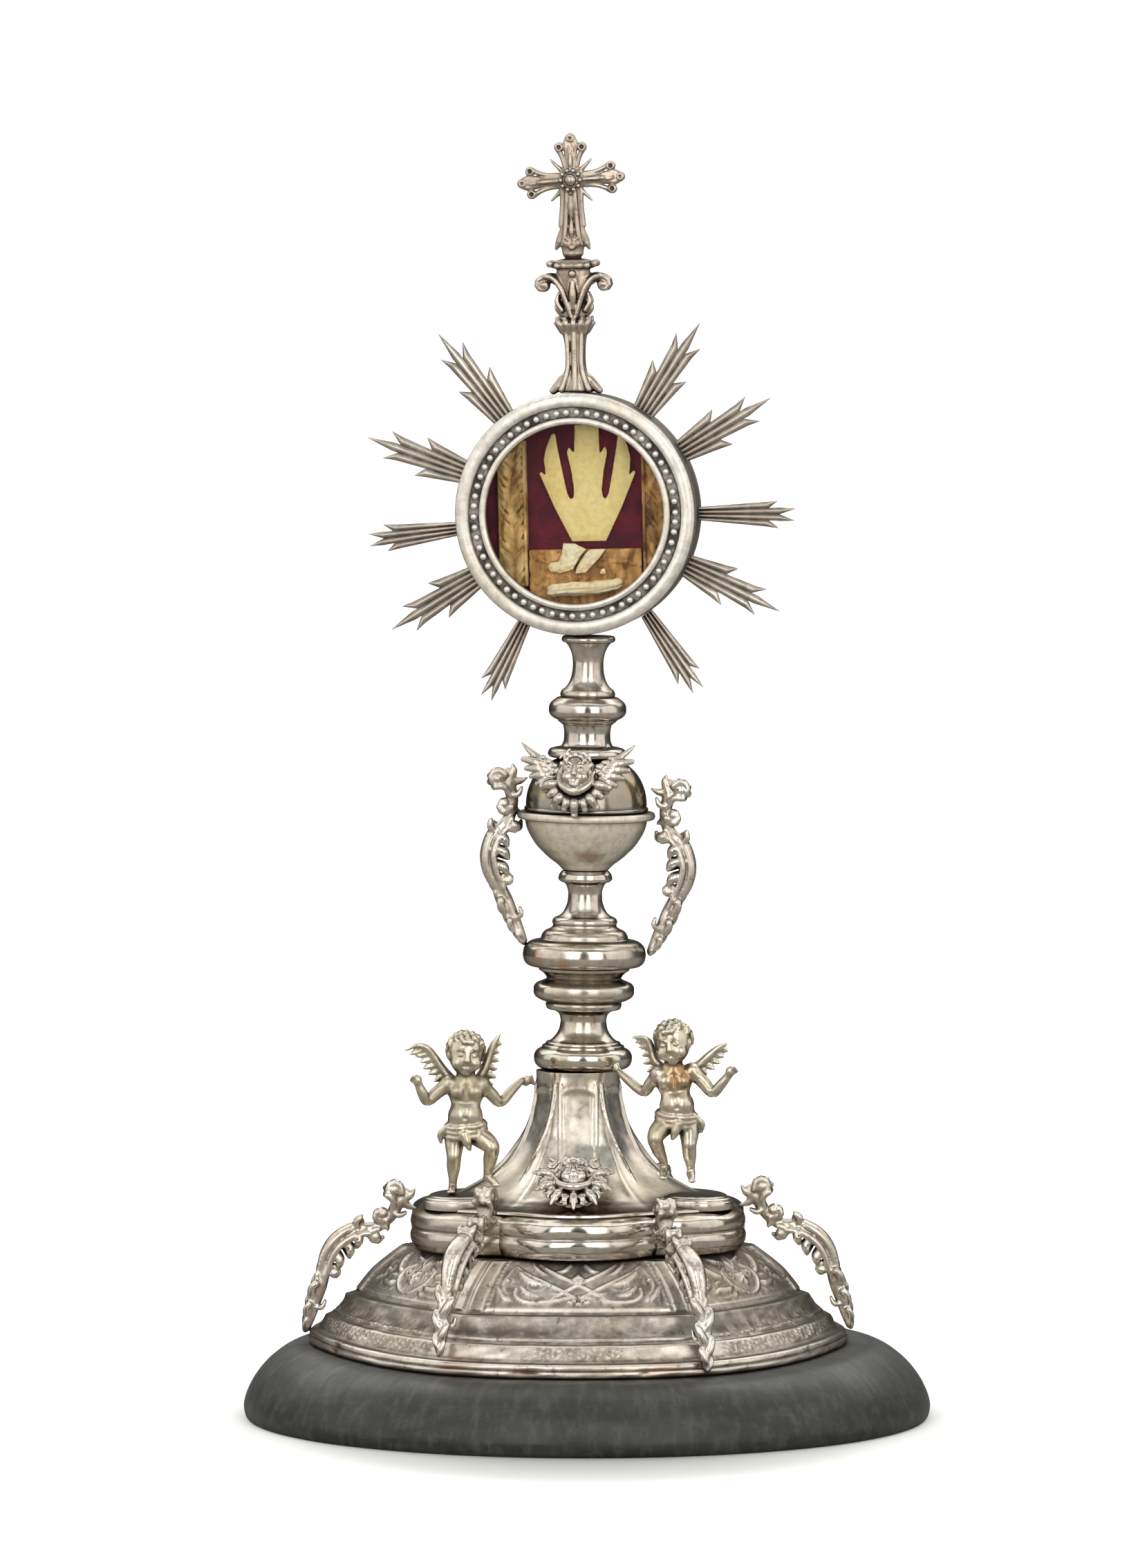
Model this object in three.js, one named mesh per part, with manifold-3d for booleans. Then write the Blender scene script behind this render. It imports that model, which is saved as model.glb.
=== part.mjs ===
// An altar reliquary of cast and raised silver on a turned, blackened wooden base. Millimetres, +Z up.
// The origin is the middle of the wooden base's underside, and the relic window faces -Y.
import * as THREE from "three";
import { mergeVertices } from "three/addons/utils/BufferGeometryUtils.js";
import Module from "manifold-3d";

const wasm = await Module();
wasm.setup();

const { PI, cos, sin, sqrt, max, min, abs, hypot } = Math;
const radians = THREE.MathUtils.degToRad;

// Heights of the joints between the stacked pieces
const WOOD_TOP = 25.5;
const FOOT_TOP = 59;
const SHOULDER_TOP = 73.5;
const BELL_TOP = 119;
const LOWER_STEM_TOP = 154;
const BALUSTER_TOP = 187.2;
const CUP_TOP = 207.4;
const COVER_TOP = 225.4;
const NECK_TOP = 267.4;

// Radii
const WOOD_RADIUS = 117.3;
const WOOD_TOP_RADIUS = 101.2;
const FOOT_RADIUS = 92.3;
const LOBE_RADIUS = 31.6;
const LOBE_CENTRE = 29.6;
const BELL_FOOT_RADIUS = 53;
const BELL_NECK_RADIUS = 14;
const CASE_RADIUS = 40.9;
const WINDOW_RADIUS = 30.5;
const CASE_DEPTH = 20;
const CASE_WALL = 1.2;

// The object was put together by hand, so its stages lean and turn a little
const FOOT_SHIFT = -3;
const STEM_SHIFT = 1.6;
const STEM_LEAN = radians(0.75);
const HEAD_CENTRE = new THREE.Vector3(-2.6, 0, 309.1);
const HEAD_LEAN = radians(-1.4);
const HEAD_TURN = radians(-9);
const GAP = 0.3;
const SEAM = 0.05;

const SILVER = new THREE.MeshStandardMaterial({ color: 0xb9b2a6, roughness: 0.32, metalness: 1 });
const DARK_SILVER = new THREE.MeshStandardMaterial({ color: 0x8d877c, roughness: 0.42, metalness: 1 });
const WOOD = new THREE.MeshStandardMaterial({ color: 0x3c3d3c, roughness: 0.55, metalness: 0 });
const GLASS = new THREE.MeshStandardMaterial({ color: 0xffffff, roughness: 0.05, transparent: true, opacity: 0.2 });
const VELVET = new THREE.MeshStandardMaterial({ color: 0x5e0f1c, roughness: 0.95, metalness: 0 });
const GILT = new THREE.MeshStandardMaterial({ color: 0xcfae5c, roughness: 0.5, metalness: 0.6 });
const STRAW = new THREE.MeshStandardMaterial({ color: 0x93642c, roughness: 0.7, metalness: 0.1 });
const BONE = new THREE.MeshStandardMaterial({ color: 0xe3cf9d, roughness: 0.8, metalness: 0 });

// Small tools

function solidOf(geometry) {
  const plain = geometry.index ? geometry.toNonIndexed() : geometry.clone();
  plain.deleteAttribute("normal");
  plain.deleteAttribute("uv");
  const merged = mergeVertices(plain, 1e-4);
  const mesh = new wasm.Mesh({
    numProp: 3,
    vertProperties: merged.attributes.position.array,
    triVerts: new Uint32Array(merged.index.array),
  });
  mesh.merge();
  return new wasm.Manifold(mesh);
}

function geometryOf(solid) {
  const mesh = solid.getMesh();
  const geometry = new THREE.BufferGeometry();
  geometry.setAttribute("position", new THREE.BufferAttribute(mesh.vertProperties, 3));
  geometry.setIndex(new THREE.BufferAttribute(mesh.triVerts, 1));
  return geometry.toNonIndexed();
}

function fuse(...geometries) {
  return geometryOf(geometries.map(solidOf).reduce((all, next) => all.add(next)));
}

function cut(geometry, ...tools) {
  return geometryOf(tools.map(solidOf).reduce((rest, tool) => rest.subtract(tool), solidOf(geometry)));
}

function piece(name, geometry, material) {
  geometry.computeVertexNormals();
  const mesh = new THREE.Mesh(geometry, material);
  mesh.name = name;
  return mesh;
}

// The same points with the lowest raised a hair off the piece below
function seated(points) {
  const [[r, z], ...rest] = points;
  return [[r, z + GAP], ...rest];
}

// A turned solid: points are [radius, height] from the bottom of the axis to its top
function turned(points, sides) {
  const profile = [[0, points[0][1]], ...points, [0, points.at(-1)[1]]];
  const geometry = new THREE.LatheGeometry(profile.map(([r, z]) => new THREE.Vector2(r, z)), sides);
  return geometry.rotateX(PI / 2);
}

// Closes a stack of rings of points, each anticlockwise seen from the far end, with a flat fan at both ends
function skinned(rings) {
  const triangles = [];
  const count = rings[0].length;
  const middle = (ring) => [0, 1, 2].map((axis) => ring.reduce((sum, point) => sum + point[axis], 0) / count);
  const [start, end] = [middle(rings[0]), middle(rings.at(-1))];
  for (let i = 0; i < count; i++) {
    const j = (i + 1) % count;
    for (let k = 0; k + 1 < rings.length; k++) {
      triangles.push(rings[k][i], rings[k][j], rings[k + 1][j]);
      triangles.push(rings[k][i], rings[k + 1][j], rings[k + 1][i]);
    }
    triangles.push(start, rings[0][j], rings[0][i]);
    triangles.push(end, rings.at(-1)[i], rings.at(-1)[j]);
  }
  const geometry = new THREE.BufferGeometry();
  geometry.setAttribute("position", new THREE.Float32BufferAttribute(triangles.flat(), 3));
  return geometry;
}

// A solid of stacked level rings: each level is {z, radius(angle)}
function ringed(levels, sides) {
  return skinned(
    levels.map(({ z, radius }) =>
      Array.from({ length: sides }, (_, i) => {
        const angle = (2 * PI * i) / sides;
        const r = radius(angle);
        return [r * cos(angle), r * sin(angle), z];
      }),
    ),
  );
}

// A limb or trunk along joints [x, y, z, half width, half depth]; the depth is the width where it is left out
function limb(joints, sides = 5) {
  const points = joints.map(([x, y, z]) => new THREE.Vector3(x, y, z));
  const back = new THREE.Vector3(0, 1, 0);
  const rings = points.map((point, k) => {
    const along = points[min(k + 1, points.length - 1)].clone().sub(points[max(k - 1, 0)]).normalize();
    const across = back.clone().cross(along).normalize();
    const deep = along.clone().cross(across);
    const [, , , width, depth = width] = joints[k];
    return Array.from({ length: sides }, (_, i) => {
      const turn = (2 * PI * i) / sides;
      const offset = across.clone().multiplyScalar(width * cos(turn)).addScaledVector(deep, depth * sin(turn));
      return offset.add(point).toArray();
    });
  });
  return skinned(rings);
}

// A plate cut to an outline in the X-Z plane, with its thickness along Y about y = 0
function plate(outline, thickness) {
  const shape = outline.isShape ? outline : new THREE.Shape(outline.map(([x, z]) => new THREE.Vector2(x, z)));
  const geometry = new THREE.ExtrudeGeometry(shape, { depth: thickness, bevelEnabled: false, curveSegments: 5 });
  return geometry.translate(0, 0, -thickness / 2).rotateX(PI / 2);
}

function ellipsoid([x, y, z], [rx, ry, rz], detail = 1) {
  return new THREE.IcosahedronGeometry(1, detail).scale(rx, ry, rz).translate(x, y, z);
}

// Plans

// How far a hexagon's edge lies inside the circle through its corners, as a share of the radius
function hexagonal(angle, share) {
  const fold = ((angle % (PI / 3)) + PI / 3) % (PI / 3);
  return 1 - share * (1 - cos(PI / 6) / cos(fold - PI / 6));
}

// The plan of six lobes that meet in cusps over the brackets
function sixLobes(angle, centre, lobe) {
  const fold = (((angle % (PI / 3)) + PI / 3) % (PI / 3)) - PI / 6;
  return centre * cos(fold) + sqrt(lobe * lobe - (centre * sin(fold)) ** 2);
}

// Wooden base: a rounded, sloping edge under a flat top. [radius, height]
const WOOD_EDGE = [
  [WOOD_RADIUS - 1.2, 0],
  [WOOD_RADIUS, 4],
  [116.1, 8],
  [113.4, 13.6],
  [109.7, 18.8],
  [104.8, 23],
  [WOOD_TOP_RADIUS, 25],
  [98, WOOD_TOP],
];

function woodBase() {
  return turned(WOOD_EDGE, 40);
}

// Foot: round at the flange, six flat panels above it. [height over the wood, corner radius, share of hexagon]
const FOOT_PROFILE = [
  [0, 91.2, 0.05],
  [1.6, FOOT_RADIUS, 0.08],
  [4.6, 91.2, 0.1],
  [5.2, 88.4, 0.16],
  [9.6, 86.4, 0.25],
  [11.2, 82.6, 0.35],
  [13.6, 82, 0.45],
  [16.6, 79.6, 0.5],
  [17.8, 76, 0.55],
  [25, 70.5, 0.62],
  [FOOT_TOP - WOOD_TOP, 59.6, 0.62],
];

function foot() {
  const levels = FOOT_PROFILE.map(([h, r, share], k) => ({
    z: WOOD_TOP + (k ? h : GAP),
    radius: (angle) => r * hexagonal(angle, share),
  }));
  return ringed(levels, 30);
}

// Shoulder: a bulging tier of six lobes. [height, inset from the lobes' outline]
const SHOULDER_PROFILE = [
  [FOOT_TOP, 5.2],
  [60.6, 1.6],
  [64.5, 0.1],
  [68, 0],
  [71.4, 1.5],
  [SHOULDER_TOP, 4.8],
];

function shoulder() {
  const levels = SHOULDER_PROFILE.map(([z, inset], k) => ({
    z: k ? z : z + GAP,
    radius: (angle) => sixLobes(angle, LOBE_CENTRE, LOBE_RADIUS) - inset,
  }));
  return ringed(levels, 36);
}

// Bell: a trumpet that spreads from the stem to the six lobes, ribbed over the brackets
// A round pad each side of its front carries a putto.
const PAD_CENTRE = [40.3, -23];
const PAD_RADIUS = 11.4;
const PAD_TOP = 78.6;
// [height, radius, depth of the hollows between the ribs]
const BELL_PROFILE = [
  [SHOULDER_TOP, BELL_FOOT_RADIUS, -0.045],
  [74.9, 52, -0.04],
  [76, 45, -0.015],
  [78.4, 37, 0.02],
  [83.2, 28.6, 0.04],
  [89, 22.9, 0.05],
  [95.4, 18.9, 0.05],
  [102.4, 15.7, 0.05],
  [110, 14.1, 0.04],
  [BELL_TOP, BELL_NECK_RADIUS, 0.02],
];

function bell() {
  const levels = BELL_PROFILE.map(([z, r, depth], k) => ({
    z: k ? z : z + GAP,
    radius: (angle) => r * (1 + depth * cos(6 * angle)),
  }));
  const pads = [-1, 1].map((side) =>
    new THREE.CylinderGeometry(PAD_RADIUS, PAD_RADIUS + 0.6, PAD_TOP - SHOULDER_TOP - 0.5, 12)
      .rotateX(PI / 2)
      .translate(side * PAD_CENTRE[0], PAD_CENTRE[1], (PAD_TOP + SHOULDER_TOP + 0.5) / 2),
  );
  return fuse(ringed(levels, 30), ...pads);
}

// Turned stages of the stem: [radius, height]
const STEM_SIDES = 12;
const LOWER_STEM = [
  [13.4, BELL_TOP],
  [15.6, 120],
  [16.7, 122.4],
  [16.4, 125],
  [14.2, 127.2],
  [12.6, 128.4],
  [10, 130.4],
  [8.2, 133.4],
  [7.9, 136.2],
  [9.2, 138.8],
  [12.4, 140.2],
  [13, 142.2],
  [16.3, 144.2],
  [17.2, 146.4],
  [15.8, 149],
  [12.7, 150.2],
  [15.4, 153.2],
  [15.6, LOWER_STEM_TOP],
];
const BALUSTER = [
  [18.2, LOWER_STEM_TOP],
  [20.4, 155.6],
  [21, 158.6],
  [20.2, 161.4],
  [18, 163.2],
  [14.9, 163.8],
  [13.6, 166],
  [10.8, 168.4],
  [10.6, 171],
  [7.4, 172.8],
  [5.9, 176.4],
  [5.8, 180],
  [7.4, 183.2],
  [9, 184.2],
  [8.9, 186],
  [7.9, BALUSTER_TOP],
];
const CUP = [
  [8.2, BALUSTER_TOP],
  [10.6, 190.2],
  [14.9, 193.6],
  [18, 197.4],
  [20.1, 201],
  [20.8, 204.4],
  [23, 204.9],
  [23.5, 206.2],
  [22.8, CUP_TOP],
];
const COVER = [
  [20.9, CUP_TOP],
  [20.6, 211.6],
  [19.4, 216.4],
  [16.8, 220.8],
  [13, 224],
  [10, COVER_TOP],
];
const NECK = [
  [12.2, COVER_TOP],
  [13.4, 227],
  [12.4, 229],
  [8.6, 229.8],
  [7.9, 233.4],
  [8.2, 236.8],
  [9.9, 238],
  [12.4, 239.6],
  [13.2, 242.4],
  [11.8, 245.6],
  [9, 246.8],
  [8.9, 249],
  [6.6, 250.8],
  [5.3, 256],
  [5.4, 260.4],
  [7.8, 264.8],
  [9, 266.2],
  [8.6, NECK_TOP],
];

// The cast bracket, used six times on the foot and twice on the stem. It lies in a plane: u points outwards, v up,
// and its tail is at 0, 0. [u, v, half width]
const BRACKET_SPINE = [
  [0.3, 0.4, 0.8],
  [2.9, 4.9, 1.6],
  [5.6, 9.9, 2.3],
  [8, 14.8, 2.4],
  [11.6, 19.6, 2.2],
  [14.4, 24.2, 2],
  [15, 29.6, 2],
  [13.8, 34.8, 2.2],
  [10.6, 38.6, 2.3],
  [8.2, 42.6, 2.2],
  [7.6, 48.4, 2],
  [9.4, 54.6, 1.9],
];
const BRACKET_HEAD = [13, 54.8];
const BRACKET_HEAD_RADIUS = 3.5;
const BRACKET_THICKNESS = 4.4;
// Leaves and curls that stand out from the spine: [foot u, foot v, tip u, tip v, half width at the foot]
const BRACKET_LEAVES = [
  [6.6, 12.4, 11, 13.4, 2],
  [10.8, 19.6, 6.6, 21.4, 2.2],
  [14, 29.2, 9.4, 28.6, 1.4],
  [9.4, 39.6, 4.8, 38.6, 2],
  [8.2, 45, 11, 45.8, 1.6],
  [8.4, 54, 8, 59.4, 1.9],
  [7.8, 53, 2.8, 55.6, 1.4],
];

function bracket() {
  const spine = new THREE.SplineCurve(BRACKET_SPINE.map(([u, v]) => new THREE.Vector2(u, v)));
  const steps = 9;
  const sides = [[], []];
  for (let i = 0; i <= steps; i++) {
    const t = i / steps;
    const at = spine.getPoint(t);
    const along = spine.getTangent(t);
    const place = t * (BRACKET_SPINE.length - 1);
    const k = min(Math.floor(place), BRACKET_SPINE.length - 2);
    const width = THREE.MathUtils.lerp(BRACKET_SPINE[k][2], BRACKET_SPINE[k + 1][2], place - k);
    sides[0].push([at.x + along.y * width, at.y - along.x * width]);
    sides[1].unshift([at.x - along.y * width, at.y + along.x * width]);
  }
  const body = plate([...sides[0], ...sides[1]], BRACKET_THICKNESS);
  const leaves = BRACKET_LEAVES.map(([u, v, tipU, tipV, width]) => {
    const length = hypot(tipU - u, tipV - v);
    const [nu, nv] = [-(tipV - v) / length, (tipU - u) / length];
    const outline = [
      [u - nu * width, v - nv * width],
      [tipU - nu * 0.6, tipV - nv * 0.6],
      [tipU + nu * 0.6, tipV + nv * 0.6],
      [u + nu * width, v + nv * width],
    ];
    return plate(outline, BRACKET_THICKNESS * 0.7);
  });
  const head = ellipsoid([BRACKET_HEAD[0], 0, BRACKET_HEAD[1]], Array(3).fill(BRACKET_HEAD_RADIUS), 0);
  return fuse(body, ...leaves, head);
}

// Stands a bracket in the upright plane at an angle round the axis, its tail at a radius and height, tipped inwards
function standBracket(name, geometry, angle, tailRadius, tailHeight, tip) {
  const mesh = piece(name, geometry.clone(), DARK_SILVER);
  mesh.geometry.rotateY(-tip).translate(tailRadius, 0, tailHeight).rotateZ(angle);
  return mesh;
}

// Foot brackets: [angle round the foot, rise of the tail]. Each was soldered on by eye.
const FOOT_BRACKETS = [
  [0, 1.2],
  [63, 0],
  [117, 0],
  [180, 0],
  [240, 3.4],
  [297.7, -0.4],
];
const FOOT_BRACKET_TAIL = [92.6, 29.6];
const FOOT_BRACKET_TIP = radians(45);
const HANDLE_TAIL = [20.2, 162.6];
const HANDLE_TIP = radians(3);

// Putto: joints in [towards the stem, back, up] from its footing, then half widths
const PUTTO = {
  head: [1.7, -1, 47.4],
  headRadii: [6.1, 6.3, 6.9],
  trunk: [
    [1, 0, 18, 5, 4],
    [1, 0, 21.4, 7, 5],
    [0.8, -0.6, 26, 5.8, 5],
    [0.9, -0.4, 31, 5.6, 4.4],
    [1.4, 0, 36, 6.4, 4],
    [1.7, 0, 38.8, 3, 2.8],
    [1.7, -0.4, 44, 2.6, 2.6],
  ],
  outerArm: [
    [-1.5, 0, 36.2, 2.2],
    [-5, 0, 36.2, 2.4],
    [-10.2, -1, 32, 2],
    [-13.4, -2.6, 37, 1.3],
    [-14.4, -3, 39.6, 1.8],
  ],
  innerArm: [
    [3, 0, 36.2, 2.2],
    [7, 0.6, 36, 2.4],
    [12.4, 4, 30.8, 2],
    [18.4, 10, 35.6, 1.3],
    [20.8, 12.6, 38, 1.8],
  ],
  outerLeg: [
    [-2, 0, 23, 3.2],
    [-2.8, -0.4, 19.6, 3.9],
    [-3, -1.8, 12.4, 2.9],
    [-3.1, -0.6, 8.6, 2.7],
    [-3.2, 0.6, 3, 1.5],
    [-3.4, -0.6, 1.2, 1.7],
  ],
  innerLeg: [
    [3, 0, 23, 3.2],
    [5.4, -1.6, 19.4, 3.8],
    [9.6, -4, 15.6, 2.9],
    [9.4, -2, 11.4, 2.4],
    [8.6, 0, 6.6, 1.5],
    [9, -1, 4.8, 1.7],
  ],
  soles: [
    [-3.4, 2, 1, -3.7, -4.6, 1],
    [8.8, 1.2, 4.9, 9.8, -4.6, 4.4],
  ],
};
const WING_OUTLINE = [
  [0, 0],
  [-2, 6.4],
  [-7.4, 11.8],
  [-16, 10.4],
  [-11, 6.6],
  [-12.4, 3.2],
  [-9, 1.6],
  [-9.6, -0.8],
  [-5.6, -1.6],
  [-2.4, -4],
];

function wing(side, turn) {
  const outline = WING_OUTLINE.map(([x, z]) => [x * side, z]);
  if (side < 0) outline.reverse();
  return plate(outline, 1.6).rotateY(turn);
}

function sole([x, y, z, toeX, toeY, toeZ]) {
  const middle = [(x + toeX) / 2, (y + toeY) / 2, (z + toeZ) / 2];
  return new THREE.BoxGeometry(2.8, y - toeY, 2).rotateZ((toeX - x) / 6).translate(...middle);
}

// A putto reaching for the stem with its inner arm, one foot raised
function putto() {
  const { head, headRadii, trunk, outerArm, innerArm, outerLeg, innerLeg, soles } = PUTTO;
  return fuse(
    ellipsoid(head, headRadii),
    limb(trunk, 8),
    wing(1, 0).translate(-3, 3.2, 36.6),
    wing(-1, radians(-40)).translate(4.6, 3.2, 36.6),
    ...[outerArm, innerArm].map((joints) => limb(joints, 5)),
    ...[outerLeg, innerLeg].map((joints) => limb(joints, 6)),
    ...soles.map(sole),
  );
}

// Where each putto stands across the foot, left and right, and how much higher the right one is
const PUTTO_STANDS = [-39.2, 34.4];
const RIGHT_PUTTO_RISE = 3.6;

function mirrorOf(geometry) {
  const solid = solidOf(geometry).mirror([1, 0, 0]);
  return geometryOf(solid);
}

// Winged head, soldered on the cup and, without wings, on the bell
function wingedHead() {
  const face = ellipsoid([0, 0, 0], [6.4, 3.8, 7]);
  const wings = [1, -1].map((side) => {
    const outline = [
      [4, 4],
      [11, 6.4],
      [19, 9.6],
      [17.4, 4],
      [14.6, -1.4],
      [10.6, -5.4],
      [4, -7],
    ].map(([x, z]) => [x * side, z]);
    if (side < 0) outline.reverse();
    return plate(outline, 2.4).rotateZ(radians(16 * side)).translate(0, 1.6, 0);
  });
  const ruff = ellipsoid([0, 0.8, -7.4], [8.4, 2.6, 5.4]);
  return fuse(face, ruff, ...wings);
}

// The winged head leans on the cover, the leafy one on the spread of the bell
const CHERUB_TILT = radians(-12);
const CHERUB_TURN = radians(-9);
const CHERUB_REACH = 23.4;
const CHERUB_HEIGHT = 220.5;
const MASK_TILT = radians(-42);
const MASK_CENTRE = [-1.6, -40, 85.7];

function leafyHead() {
  const face = ellipsoid([0, 0, 2.4], [5, 3.2, 5.4]);
  const count = 9;
  const outline = [[-6.4, 3.6]];
  for (let i = 0; i < count; i++) {
    const turn = PI + (PI * (i + 0.5)) / count;
    const half = (PI / count) * 0.5;
    outline.push([9.4 * cos(turn - half), 7.6 * sin(turn - half)]);
    outline.push([12.6 * cos(turn), 11 * sin(turn)]);
  }
  outline.push([6.4, 3.6]);
  return fuse(face, plate(outline, 2.8));
}

// Case: a drum with a closed back, open at the front
function caseDrum() {
  const half = CASE_DEPTH / 2;
  const profile = [
    [0, half],
    [CASE_RADIUS - 1.4, half],
    [CASE_RADIUS, half - 1.4],
    [CASE_RADIUS, -half + 1],
    [CASE_RADIUS - CASE_WALL, -half + 1],
    [CASE_RADIUS - CASE_WALL, half - CASE_WALL],
    [0, half - CASE_WALL],
  ];
  const points = profile.map(([r, y]) => new THREE.Vector2(r, y));
  return new THREE.LatheGeometry(points.reverse(), 32);
}

// A ring round the Y axis from a closed profile of [radius, y]
function ring(profile, sides) {
  const closed = [...profile, profile[0]].map(([r, y]) => new THREE.Vector2(r, y));
  return new THREE.LatheGeometry(closed, sides);
}

function caseBezel() {
  const front = -CASE_DEPTH / 2 + 1 - SEAM;
  const profile = [
    [WINDOW_RADIUS, front],
    [WINDOW_RADIUS, front - 2.2],
    [33.4, front - 1.6],
    [36.6, front - 1.6],
    [38.6, front - 2.8],
    [CASE_RADIUS + 0.2, front - 1],
    [CASE_RADIUS + 0.2, front],
  ];
  return ring(profile, 32);
}

function disc(radius, thickness, sides) {
  return new THREE.CylinderGeometry(radius, radius, thickness, sides);
}

// Rays: half outlines of [distance out, half width], mirrored. The broad one has five points, the narrow one four.
const BROAD_RAY = [
  [0, 4],
  [16.4, 6.9],
  [14.4, 4.3],
  [28.6, 4.9],
  [24.6, 1.7],
];
const NARROW_RAY = [
  [0, 2.3],
  [26.6, 4.6],
  [24.4, 2.6],
  [32.6, 2],
];
const RAY_THICKNESS = 1.8;
const RAYS = [
  ["broad", 127.3, 37.2],
  ["broad", 159.6, 36.8],
  ["narrow", 186.4, 32.6],
  ["broad", 210.5, 35.8],
  ["narrow", 241.8, 30.4],
  ["narrow", 302.9, 32],
  ["broad", 333, 35.8],
  ["narrow", 358.6, 33.4],
  ["broad", 29.6, 36],
  ["broad", 56, 36.2],
];

function ray(kind, length) {
  const half = kind === "broad" ? BROAD_RAY : NARROW_RAY;
  const full = kind === "broad" ? 36.4 : 32.6;
  const tip = kind === "broad" ? [full, 0] : [27.4, 0];
  const stretched = ([out, wide]) => [(out * length) / full, wide];
  const upper = half.map(stretched);
  const lower = half.map(stretched).map(([out, wide]) => [out, -wide]);
  const outline = [...lower, stretched(tip), ...upper.reverse()];
  return plate(outline, RAY_THICKNESS);
}

// Finial stem: [radius, height], flattened front to back, with a volute each side
const FINIAL_STEM = [
  [7.9, 0],
  [7.4, 1.6],
  [5.6, 4],
  [4, 7],
  [3.7, 15.6],
  [4.6, 21.4],
  [6.2, 24],
  [4.6, 28],
  [5.6, 33.6],
  [6.4, 40],
  [7.8, 42],
  [7.8, 44],
  [4, 45],
];
const FINIAL_FLATNESS = 0.62;

function finialStem() {
  const body = turned(FINIAL_STEM, 10).scale(1, FINIAL_FLATNESS, 1);
  const volutes = [-1, 1].map((side) =>
    new THREE.CylinderGeometry(2.6, 2.6, 4.4, 8).translate(side * 9, 0, 35.6),
  );
  const arms = [-1, 1].map((side) =>
    limb([
      [side * 4, 0, 40, 1.7],
      [side * 9, 0, 37.2, 1.4],
    ]),
  );
  return fuse(body, ...volutes, ...arms);
}

// Finial cross, [x, z] from the foot of its shaft; the crossing is at CROSSING
const CROSSING = 26.4;
const CROSS_ARM = 18.4;
const CROSS_TOP = 15.8;
const CROSS_THICKNESS = 3;

// The end of an arm: a three-lobed flower, along +x from the root at distance 8
function armEnd(reach) {
  return [
    [reach - 11, 2.2],
    [reach - 7.6, 2.4],
    [reach - 5.6, 4.6],
    [reach - 3, 3.2],
    [reach, 0],
  ];
}

function finialCross() {
  const arm = (reach, turn) => {
    const half = [[0, 2.4], ...armEnd(reach)];
    const outline = [...half.map(([x, z]) => [x, -z]), ...half.slice(0, -1).reverse()];
    return plate(outline, CROSS_THICKNESS).rotateY(-turn).translate(0, 0, CROSSING);
  };
  const shaft = plate(
    [
      [-3.4, 0.1],
      [3.4, 0.1],
      [3.6, 3],
      [6, 3.4],
      [5, 8.4],
      [4, 17],
      [4, CROSSING],
      [-4, CROSSING],
      [-4, 17],
      [-5, 8.4],
      [-6, 3.4],
      [-3.6, 3],
    ],
    CROSS_THICKNESS + 0.6,
  );
  const spikes = [45, 135, 225, 315].map((degrees) => {
    const turn = radians(degrees);
    const joint = (reach, width) => [reach * cos(turn), 0, CROSSING + reach * sin(turn), width];
    return limb([joint(0.5, 1.6), joint(8.4, 0.3)], 4);
  });
  const boss = ellipsoid([0, -1.2, CROSSING], [3, 2.2, 3], 0);
  return fuse(shaft, arm(CROSS_ARM, 0), arm(CROSS_TOP, PI / 2), arm(CROSS_ARM, PI), ...spikes, boss);
}

// Relic display behind the glass: [x, z] outlines from the middle of the window
const BACKING_FACE = 4.4;
const STRIP_THICKNESS = 3;
const LEFT_STRIP = [18.3, 28.4];
const RIGHT_STRIP = [21.3, 33];
const GILT_HALF = [
  [5.9, -9.9],
  [16.6, 13.3],
  [14, 12.7],
  [15, 18],
  [10.9, 27],
  [7.6, 5.4],
  [5, 5.4],
  [6.8, 22.1],
  [4.2, 20.4],
  [4.2, 29.6],
];
const FLOOR_TOP = -12.5;
// Cream chips that lie on the floor strip, and the roll below them
const LEFT_CHIP = [
  [-5.8, -10.3],
  [-1.9, -10.5],
  [2.1, -12.5],
  [-2.7, -19.1],
  [-7.2, -20.5],
  [-10.7, -19.6],
  [-11, -17.4],
  [-7.6, -16.5],
];
const RIGHT_CHIP = [
  [3, -12.5],
  [8.8, -12.5],
  [4.3, -17.8],
  [1.7, -20.5],
  [-2, -20.7],
  [0, -16.5],
];
const ROLL = { middle: [1.6, -25.6], length: 25.6, radius: 2.3, rise: 0.12 };

function giltRays() {
  const middle = 2.6;
  const right = GILT_HALF.map(([x, z]) => [middle + x, z]);
  const left = GILT_HALF.map(([x, z]) => [middle - x, z]).reverse();
  return plate([...right, ...left], 0.8);
}

function borderStrip([inner, outer], side) {
  const radius = WINDOW_RADIUS + 5;
  const steps = 6;
  const outline = [];
  for (let i = 0; i <= steps; i++) {
    const z = -25 + (50 * i) / steps;
    outline.push([side * min(outer, sqrt(radius * radius - z * z)), z]);
  }
  outline.push([side * inner, 25], [side * inner, -25]);
  if (side < 0) outline.reverse();
  return plate(outline, STRIP_THICKNESS);
}

function borderFloor() {
  const radius = WINDOW_RADIUS + 5;
  const [left, right] = [-LEFT_STRIP[0] + GAP, RIGHT_STRIP[0] - GAP];
  const outline = [];
  for (let i = 0; i <= 8; i++) {
    const x = left + ((right - left) * i) / 8;
    outline.push([x, -sqrt(radius * radius - x * x)]);
  }
  outline.push([right, FLOOR_TOP], [left, FLOOR_TOP]);
  return plate(outline, STRIP_THICKNESS);
}

// Assembly

function group(name, parent, x = 0, y = 0, z = 0) {
  const made = new THREE.Group();
  made.name = name;
  made.position.set(x, y, z);
  parent.add(made);
  return made;
}

const reliquary = new THREE.Group();
reliquary.name = "reliquary";
reliquary.add(piece("wood_base", woodBase(), WOOD));

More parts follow.
